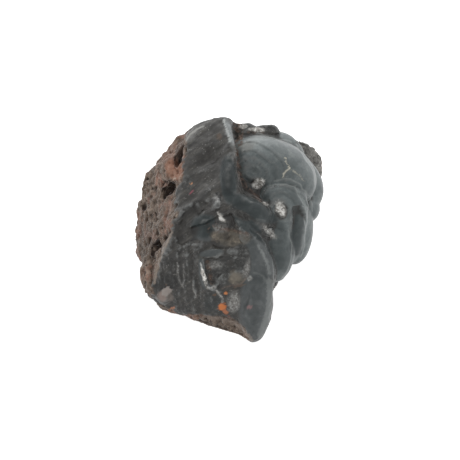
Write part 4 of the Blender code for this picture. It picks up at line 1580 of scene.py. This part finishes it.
@dataclass
class StoneFinish:
    """The one finish of the stone, which changes by region."""

    effects: Effects

    # The colours.
    lobe: Tones = Tones((0.072, 0.087, 0.088), (0.110, 0.128, 0.129), (0.17, 0.188, 0.184),
                        0.28, 0.46, 0.25)
    smooth: Tones = Tones((0.032, 0.039, 0.040), (0.050, 0.057, 0.058), (0.078, 0.085, 0.086),
                          0.28, 0.42, 0.2)
    # Darker blue-green, for the arms and the spine and for painted shade on the lobes.
    teal_and_shade: Tones = Tones((0.012, 0.018, 0.019), (0.021, 0.029, 0.030), (0.034, 0.043, 0.044),
                        0.28, 0.42, 0.2)
    plate: Tones = Tones((0.010, 0.0098, 0.009), (0.0235, 0.0215, 0.0185), (0.056, 0.052, 0.044),
                         0.9, 0.5, 0.1)
    crust: Tones = Tones((0.054, 0.039, 0.029), (0.134, 0.100, 0.076), (0.27, 0.215, 0.172),
                         0.6, 0.88)
    red: Tones = Tones((0.17, 0.080, 0.057), (0.34, 0.175, 0.125), (0.47, 0.285, 0.218), 0.8, 0.9)
    olive: Tones = Tones((0.045, 0.039, 0.029), (0.092, 0.079, 0.060), (0.20, 0.17, 0.13),
                         0.5, 0.4, 0.2)
    broken: Tones = Tones((0.02, 0.02, 0.019), (0.04, 0.04, 0.038), (0.09, 0.09, 0.086),
                          1.2, 0.25, 0.5)
    rust: Tones = Tones((0.055, 0.04, 0.033), (0.11, 0.079, 0.064), (0.19, 0.145, 0.12), 1.6, 0.85)
    rock: Tones = Tones((0.07, 0.067, 0.061), (0.215, 0.208, 0.193), (0.43, 0.42, 0.39), 0.7, 0.7)
    # Painted glints: the light of sparkling crystal grains on the broken faces, mixed with their
    # lighter colour.
    glint_tones: Tones = Tones((0.24, 0.23, 0.21), (0.42, 0.40, 0.37), (0.85, 0.84, 0.80), 1.9, 0.5, 0.1)
    # Painted glint specks on the plate, rubbed edges and clefts darkened by grime and painted shade;
    # on the crust, its own grains, rubbed edges, clefts under grime and painted shade, and painted
    # shade in its hollows.
    glint: Place = (0.16, 0.157, 0.145)
    rubbed: Place = (0.13, 0.135, 0.132)
    dirt_and_shade: Place = (0.02, 0.018, 0.016)
    crust_grain: Place = (0.36, 0.28, 0.235)
    crust_rubbed: Place = (0.23, 0.18, 0.147)
    crust_dirt_and_shade: Place = (0.030, 0.021, 0.017)
    crust_shade: Place = (0.03, 0.02, 0.016)

    # How the colours are laid and strewn.
    striae_turn: Place = (0.0, 0.0, -38.0)
    striae_tone_scale: Place = (0.16, 1.1, 0.3)
    striae_relief_scale: Place = (0.25, 1.6, 0.4)
    glinting_crystals: Grains = Grains(2.1, 0.82)
    crystal_clusters: Clouds = Clouds(0.35, 3.0, 0.55, (0.42, 0.62), (0.1, 0.8))
    crease_fineness: float = 1.6
    crease_width: float = 0.03
    crease_share: float = 0.55
    band_share: float = 0.22
    speckle: Clouds = Clouds(1.6, 5.0, 0.7, (0.42, 0.64), (0.0, 0.45))
    reddening: Clouds = Clouds(0.13, 3.0, 0.55, (0.50, 0.66), (0.0, 0.75))
    crust_grains: Grains = Grains(1.3, 0.72, 0.35)
    # Dark specks for small holes in the crust, as painted shade; then the share of painted shade in
    # the crust's wide hollows.
    crust_holes: Grains = Grains(1.9, 0.7, 0.45)
    hollow_shade_share: float = 0.6
    staining: Clouds = Clouds(0.9, 4.0, 0.55, (0.40, 0.60))
    glitter_middle: Span = (0.05, 0.3)
    glitter_light: Span = (0.35, 0.8)

    # The fine relief.
    striae_bumps: Bumps = Bumps(1.2, 4.0, 0.6, 0.25)
    plate_bumps: Bumps = Bumps(2.2, 5.0, 0.7, 0.4)
    lobe_bumps: Bumps = Bumps(2.0, 4.0, 0.6, 0.14)
    crust_bumps: Bumps = Bumps(1.5, 7.0, 0.7, 1.6)
    grain_bumps: Grains = Grains(1.3, 0.62, 0.15)
    relief_depth: float = 0.25

    # The gloss.
    uneven_gloss: Clouds = Clouds(0.9, 5.0, 0.6, (0.3, 0.7), (0.85, 1.25))
    fleck_roughness: float = 0.7
    teal_dimming: float = 0.5
    sheen: float = 0.34
    sheen_roughness: float = 0.33
    sheen_ior: float = 1.6
    gloss: float = 0.35
    rim: float = 0.38
    rim_roughness: float = 0.3

    def build(self) -> bpy.types.Material:
        """Builds the material.

        Returns:
            The material.
        """
        material = bpy.data.materials.new("kidney ore")
        material.use_nodes = True
        graph = self.graph = Graph(material.node_tree)
        millimetres = graph.add("Mapping", vector_type="POINT")
        millimetres.inputs["Scale"].default_value = (1 / MM, 1 / MM, 1 / MM)
        graph.feed(millimetres.inputs["Vector"], graph.add("TexCoord").outputs["Object"])
        self.place = graph.stretch(millimetres.outputs[0], (-math.degrees(FACE_LEAN), 0, 0),
                                   (1, 1, 1))
        mask = self.mask = {region: graph.mask(region.value) for region in Region}
        roughness: Input = self.plate.roughness
        metallic: Input = self.plate.metallic
        for region, tones in ((Region.POLISH, self.smooth), (Region.TEAL_AND_SHADE, self.teal_and_shade),
                              (Region.LOBE, self.lobe), (Region.OLIVE, self.olive),
                              (Region.BROKEN, self.broken), (Region.CRUST, self.crust),
                              (Region.RUST, self.rust), (Region.KNOB, self.rock),
                              (Region.GLITTER, self.glint_tones)):
            roughness = graph.blend(mask[region], roughness, tones.roughness)
            metallic = graph.blend(mask[region], metallic, tones.metallic)
        roughness = graph.times(roughness, graph.clouds(self.place, self.uneven_gloss))
        fleck = graph.add("Attribute", attribute_name="fleck")
        specks = fleck.outputs["Alpha"]
        roughness = graph.blend(specks, roughness, self.fleck_roughness)
        dull = graph.math("MAXIMUM", mask[Region.CRUST], mask[Region.RUST])
        dull = graph.math("MAXIMUM", dull, mask[Region.KNOB])
        bare = graph.math("SUBTRACT", 1.0, graph.math("MAXIMUM", dull, specks), clamp=True)
        dim = graph.times(mask[Region.TEAL_AND_SHADE], self.teal_dimming)
        glossy = graph.times(bare, graph.math("SUBTRACT", 1.0, dim))
        bump = graph.add("Bump")
        bump.inputs["Strength"].default_value = 1.0
        bump.inputs["Distance"].default_value = self.relief_depth * MM
        graph.feed(bump.inputs["Height"], self.height())
        graph.wire(material.node_tree.nodes["Principled BSDF"], {
            "Base Color": graph.mix(specks, self.colour(), fleck.outputs["Color"]),
            "Roughness": graph.math("MINIMUM", roughness, 1.0),
            "Metallic": graph.blend(specks, metallic, 0.0),
            "Coat Weight": graph.times(glossy, self.sheen),
            "Coat Roughness": self.sheen_roughness,
            "Coat IOR": self.sheen_ior,
            "Specular IOR Level": self.gloss,
            "Sheen Weight": self.rim,
            "Sheen Roughness": self.rim_roughness,
            "Normal": bump.outputs["Normal"]})
        return material

    def mottled(self, place: Socket, tones: Tones) -> Socket:
        """Mixes the colour of one kind of surface."""
        return self.graph.place(
            self.effects.mottle, Place=place, Fineness=tones.fineness, Dark=tones.dark,
            Middle=tones.middle, Light=tones.light).outputs["Color"]

    def grains(self, grains: Grains, output: str = "Mask") -> Socket:
        """Gives a mask of strewn grains, or their tones."""
        return self.graph.place(self.effects.grains, Place=self.place, Fineness=grains.fineness,
                                Sparse=grains.sparse).outputs[output]

    def strewn(self, under: Input, over: Input, grains: Grains) -> Socket:
        """Strews grains of one colour over another."""
        return self.graph.mix(self.graph.times(self.grains(grains), grains.share), under, over)

    def worn_and_shaded(self, colour: Socket, rubbed: Place, dirt_and_shade: Place) -> Socket:
        """Lightens the edges of a surface and darkens its clefts with grime and painted shade."""
        return self.graph.place(
            self.effects.wear_and_shade, Color=colour, Edge=self.mask[Region.EDGE],
            Cleft=self.mask[Region.CLEFT], Rubbed=rubbed, Dirt=dirt_and_shade,
            Place=self.place).outputs["Color"]

    def colour(self) -> Socket:
        """Mixes the whole stone's colour.

        Returns:
            The colour.
        """
        graph, place, mask = self.graph, self.place, self.mask
        striae = graph.stretch(place, self.striae_turn, self.striae_tone_scale)
        # Painted glints: sparse light specks strewn over the plate's crystal grains.
        glinting_crystals = graph.times(self.grains(self.glinting_crystals),
                               graph.clouds(place, self.crystal_clusters))
        colour = graph.mix(glinting_crystals, self.mottled(striae, self.plate), self.glint)
        lines = graph.place(self.effects.creases, Place=striae, Fineness=self.crease_fineness,
                            Width=self.crease_width).outputs["Mask"]
        colour = graph.mix(graph.times(lines, self.crease_share), colour, self.plate.dark)
        bands = graph.times(mask[Region.RING], self.band_share)
        lobe = graph.mix(bands, self.mottled(place, self.lobe), self.lobe.light)
        lobe = graph.mix(graph.clouds(place, self.speckle), lobe, self.lobe.dark)
        colour = graph.mix(mask[Region.POLISH], colour, self.mottled(place, self.smooth))
        colour = graph.mix(mask[Region.LOBE], colour, lobe)
        # The darker blue-green mixed in here is partly painted shade on the lobes.
        for region, tones in ((Region.TEAL_AND_SHADE, self.teal_and_shade), (Region.KNOB, self.rock),
                              (Region.OLIVE, self.olive), (Region.BROKEN, self.broken)):
            colour = graph.mix(mask[region], colour, self.mottled(place, tones))
        # Rubbed edges lighten; clefts darken with grime and painted shade.
        colour = self.worn_and_shaded(colour, self.rubbed, self.dirt_and_shade)
        crust = graph.mix(graph.clouds(place, self.reddening), self.mottled(place, self.crust),
                          self.mottled(place, self.red))
        crust = self.strewn(crust, self.crust_grain, self.crust_grains)
        # Painted shade: dark specks standing for small holes in the crust.
        crust = self.strewn(crust, self.crust.dark, self.crust_holes)
        # On the crust too, rubbed edges lighten and clefts darken with grime and painted shade; then
        # its wide hollows take painted shade.
        crust = self.worn_and_shaded(crust, self.crust_rubbed, self.crust_dirt_and_shade)
        shade = graph.times(mask[Region.HOLLOW_SHADE], self.hollow_shade_share)
        crust = graph.mix(shade, crust, self.crust_shade)
        colour = graph.mix(mask[Region.CRUST], colour, crust)
        stained = graph.times(mask[Region.RUST], graph.clouds(place, self.staining))
        colour = graph.mix(stained, colour, self.mottled(place, self.rust))
        # Painted glints and lighter crystal grains on the freshly broken faces.
        return graph.mix(mask[Region.GLITTER], colour, self.glittering())

    def glittering(self) -> Socket:
        """Mixes the colour of the freshly broken faces, crystal by crystal, the lightest as painted
        glints.

        Returns:
            The colour.
        """
        graph, glint_tones = self.graph, self.glint_tones
        tone = self.grains(Grains(glint_tones.fineness), "Tone")
        dim = graph.mix(graph.fit(tone, *self.glitter_middle), glint_tones.dark, glint_tones.middle)
        return graph.mix(graph.fit(tone, *self.glitter_light), dim, glint_tones.light)

    def height(self) -> Socket:
        """Works out the finest relief.

        Returns:
            The height, from 0 to about 1.
        """
        graph, place, mask = self.graph, self.place, self.mask
        striae = graph.stretch(place, self.striae_turn, self.striae_relief_scale)
        plate = graph.math("ADD", graph.bumps(striae, self.striae_bumps),
                           graph.bumps(place, self.plate_bumps))
        smooth = graph.math("MAXIMUM", mask[Region.LOBE], mask[Region.POLISH])
        height = graph.blend(smooth, plate, graph.bumps(place, self.lobe_bumps))
        grains = graph.times(self.grains(self.grain_bumps), self.grain_bumps.share)
        crust = graph.math("ADD", graph.bumps(place, self.crust_bumps), grains)
        return graph.blend(mask[Region.CRUST], height, crust)


@dataclass
class Studio:
    """The pale floor, the soft light and the camera."""

    floor_width: float = 6.0
    floor_tone: float = 0.7
    floor_glow: float = 0.8
    floor_bounce: float = 0.3
    floor_roughness: float = 0.9
    floor_gap: float = 0.05
    sky: float = 1.4
    opening: float = 0.7
    opening_inner: float = math.radians(20.0)
    opening_outer: float = math.radians(75.0)
    lamp_power: float = 2.2
    lamp_width: float = 0.9
    lamp_place: Place = (-0.1, 0.8, 0.4)
    lens: float = 120.0
    sensor: float = 36.0

    def build(self) -> None:
        """Builds the whole studio."""
        self.lay_floor()
        self.light()
        self.set_camera()

    def lay_floor(self) -> None:
        """Lays the floor just under the stone."""
        bm = bmesh.new()
        bmesh.ops.create_grid(bm, x_segments=1, y_segments=1, size=self.floor_width / 2)
        mesh = bpy.data.meshes.new("floor")
        bm.to_mesh(mesh)
        bm.free()
        floor = bpy.data.objects.new("floor", mesh)
        floor.location.z = -self.floor_gap * MM
        bpy.context.scene.collection.objects.link(floor)
        material = bpy.data.materials.new("pale floor")
        material.use_nodes = True
        shader = material.node_tree.nodes["Principled BSDF"]
        shader.inputs["Base Color"].default_value = (*[self.floor_tone] * 3, 1.0)
        shader.inputs["Roughness"].default_value = self.floor_roughness
        shader.inputs["Emission Strength"].default_value = self.floor_glow
        graph = Graph(material.node_tree)
        seen = graph.add("LightPath").outputs["Is Camera Ray"]
        glow = graph.mix(seen, (self.floor_bounce,) * 3, (1.0, 1.0, 1.0))
        graph.feed(shader.inputs["Emission Color"], glow)
        mesh.materials.append(material)

    def light(self) -> None:
        """Sets a white tent of light, dim at its front opening, with a wide lamp overhead."""
        world = bpy.data.worlds.new("tent")
        bpy.context.scene.world = world
        world.use_nodes = True
        graph = Graph(world.node_tree)
        towards = graph.add("VectorMath", operation="DOT_PRODUCT")
        graph.feed(towards.inputs[0], graph.add("TexCoord").outputs["Generated"])
        towards.inputs[1].default_value = (0.0, -math.sin(FACE_LEAN), math.cos(FACE_LEAN))
        strength = graph.fit(towards.outputs["Value"], math.cos(self.opening_outer),
                             math.cos(self.opening_inner), self.sky, self.opening)
        background = world.node_tree.nodes["Background"]
        background.inputs["Color"].default_value = (1.0, 1.0, 1.0, 1.0)
        graph.feed(background.inputs["Strength"], strength)
        lamp = bpy.data.lights.new("overhead", "AREA")
        lamp.energy = self.lamp_power
        lamp.shape = "SQUARE"
        lamp.size = self.lamp_width
        holder = bpy.data.objects.new("overhead", lamp)
        holder.location = self.lamp_place
        holder.rotation_euler = (-Vector(self.lamp_place)).to_track_quat("-Z", "Y").to_euler()
        bpy.context.scene.collection.objects.link(holder)
        bpy.context.scene.view_settings.view_transform = "Standard"

    def set_camera(self) -> None:
        """Looks straight onto the face from the photograph's distance."""
        camera = bpy.data.cameras.new("camera")
        camera.lens = self.lens
        camera.sensor_width = self.sensor
        camera.clip_start = 0.01
        holder = bpy.data.objects.new("camera", camera)
        outward = Vector((0.0, -math.sin(FACE_LEAN), math.cos(FACE_LEAN)))
        holder.location = (Vector(FACE_MIDDLE) + EYE_DISTANCE * outward) * MM
        holder.rotation_euler = (FACE_LEAN, 0.0, 0.0)
        bpy.context.scene.collection.objects.link(holder)
        bpy.context.scene.camera = holder


def main() -> None:
    """Builds the stone and its studio."""
    logging.basicConfig(level=logging.INFO, format="%(name)s: %(message)s")
    skin = Skin(StoneForm(), Face()).build()
    skin.data.materials.append(StoneFinish(Effects()).build())
    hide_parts(NODE)
    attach(skin, "root")
    logger.info("%s rides on root and replaces %s", skin.name, NODE)
    Studio().build()
    logger.info("floor, light and camera set")


if __name__ == "__main__":
    main()
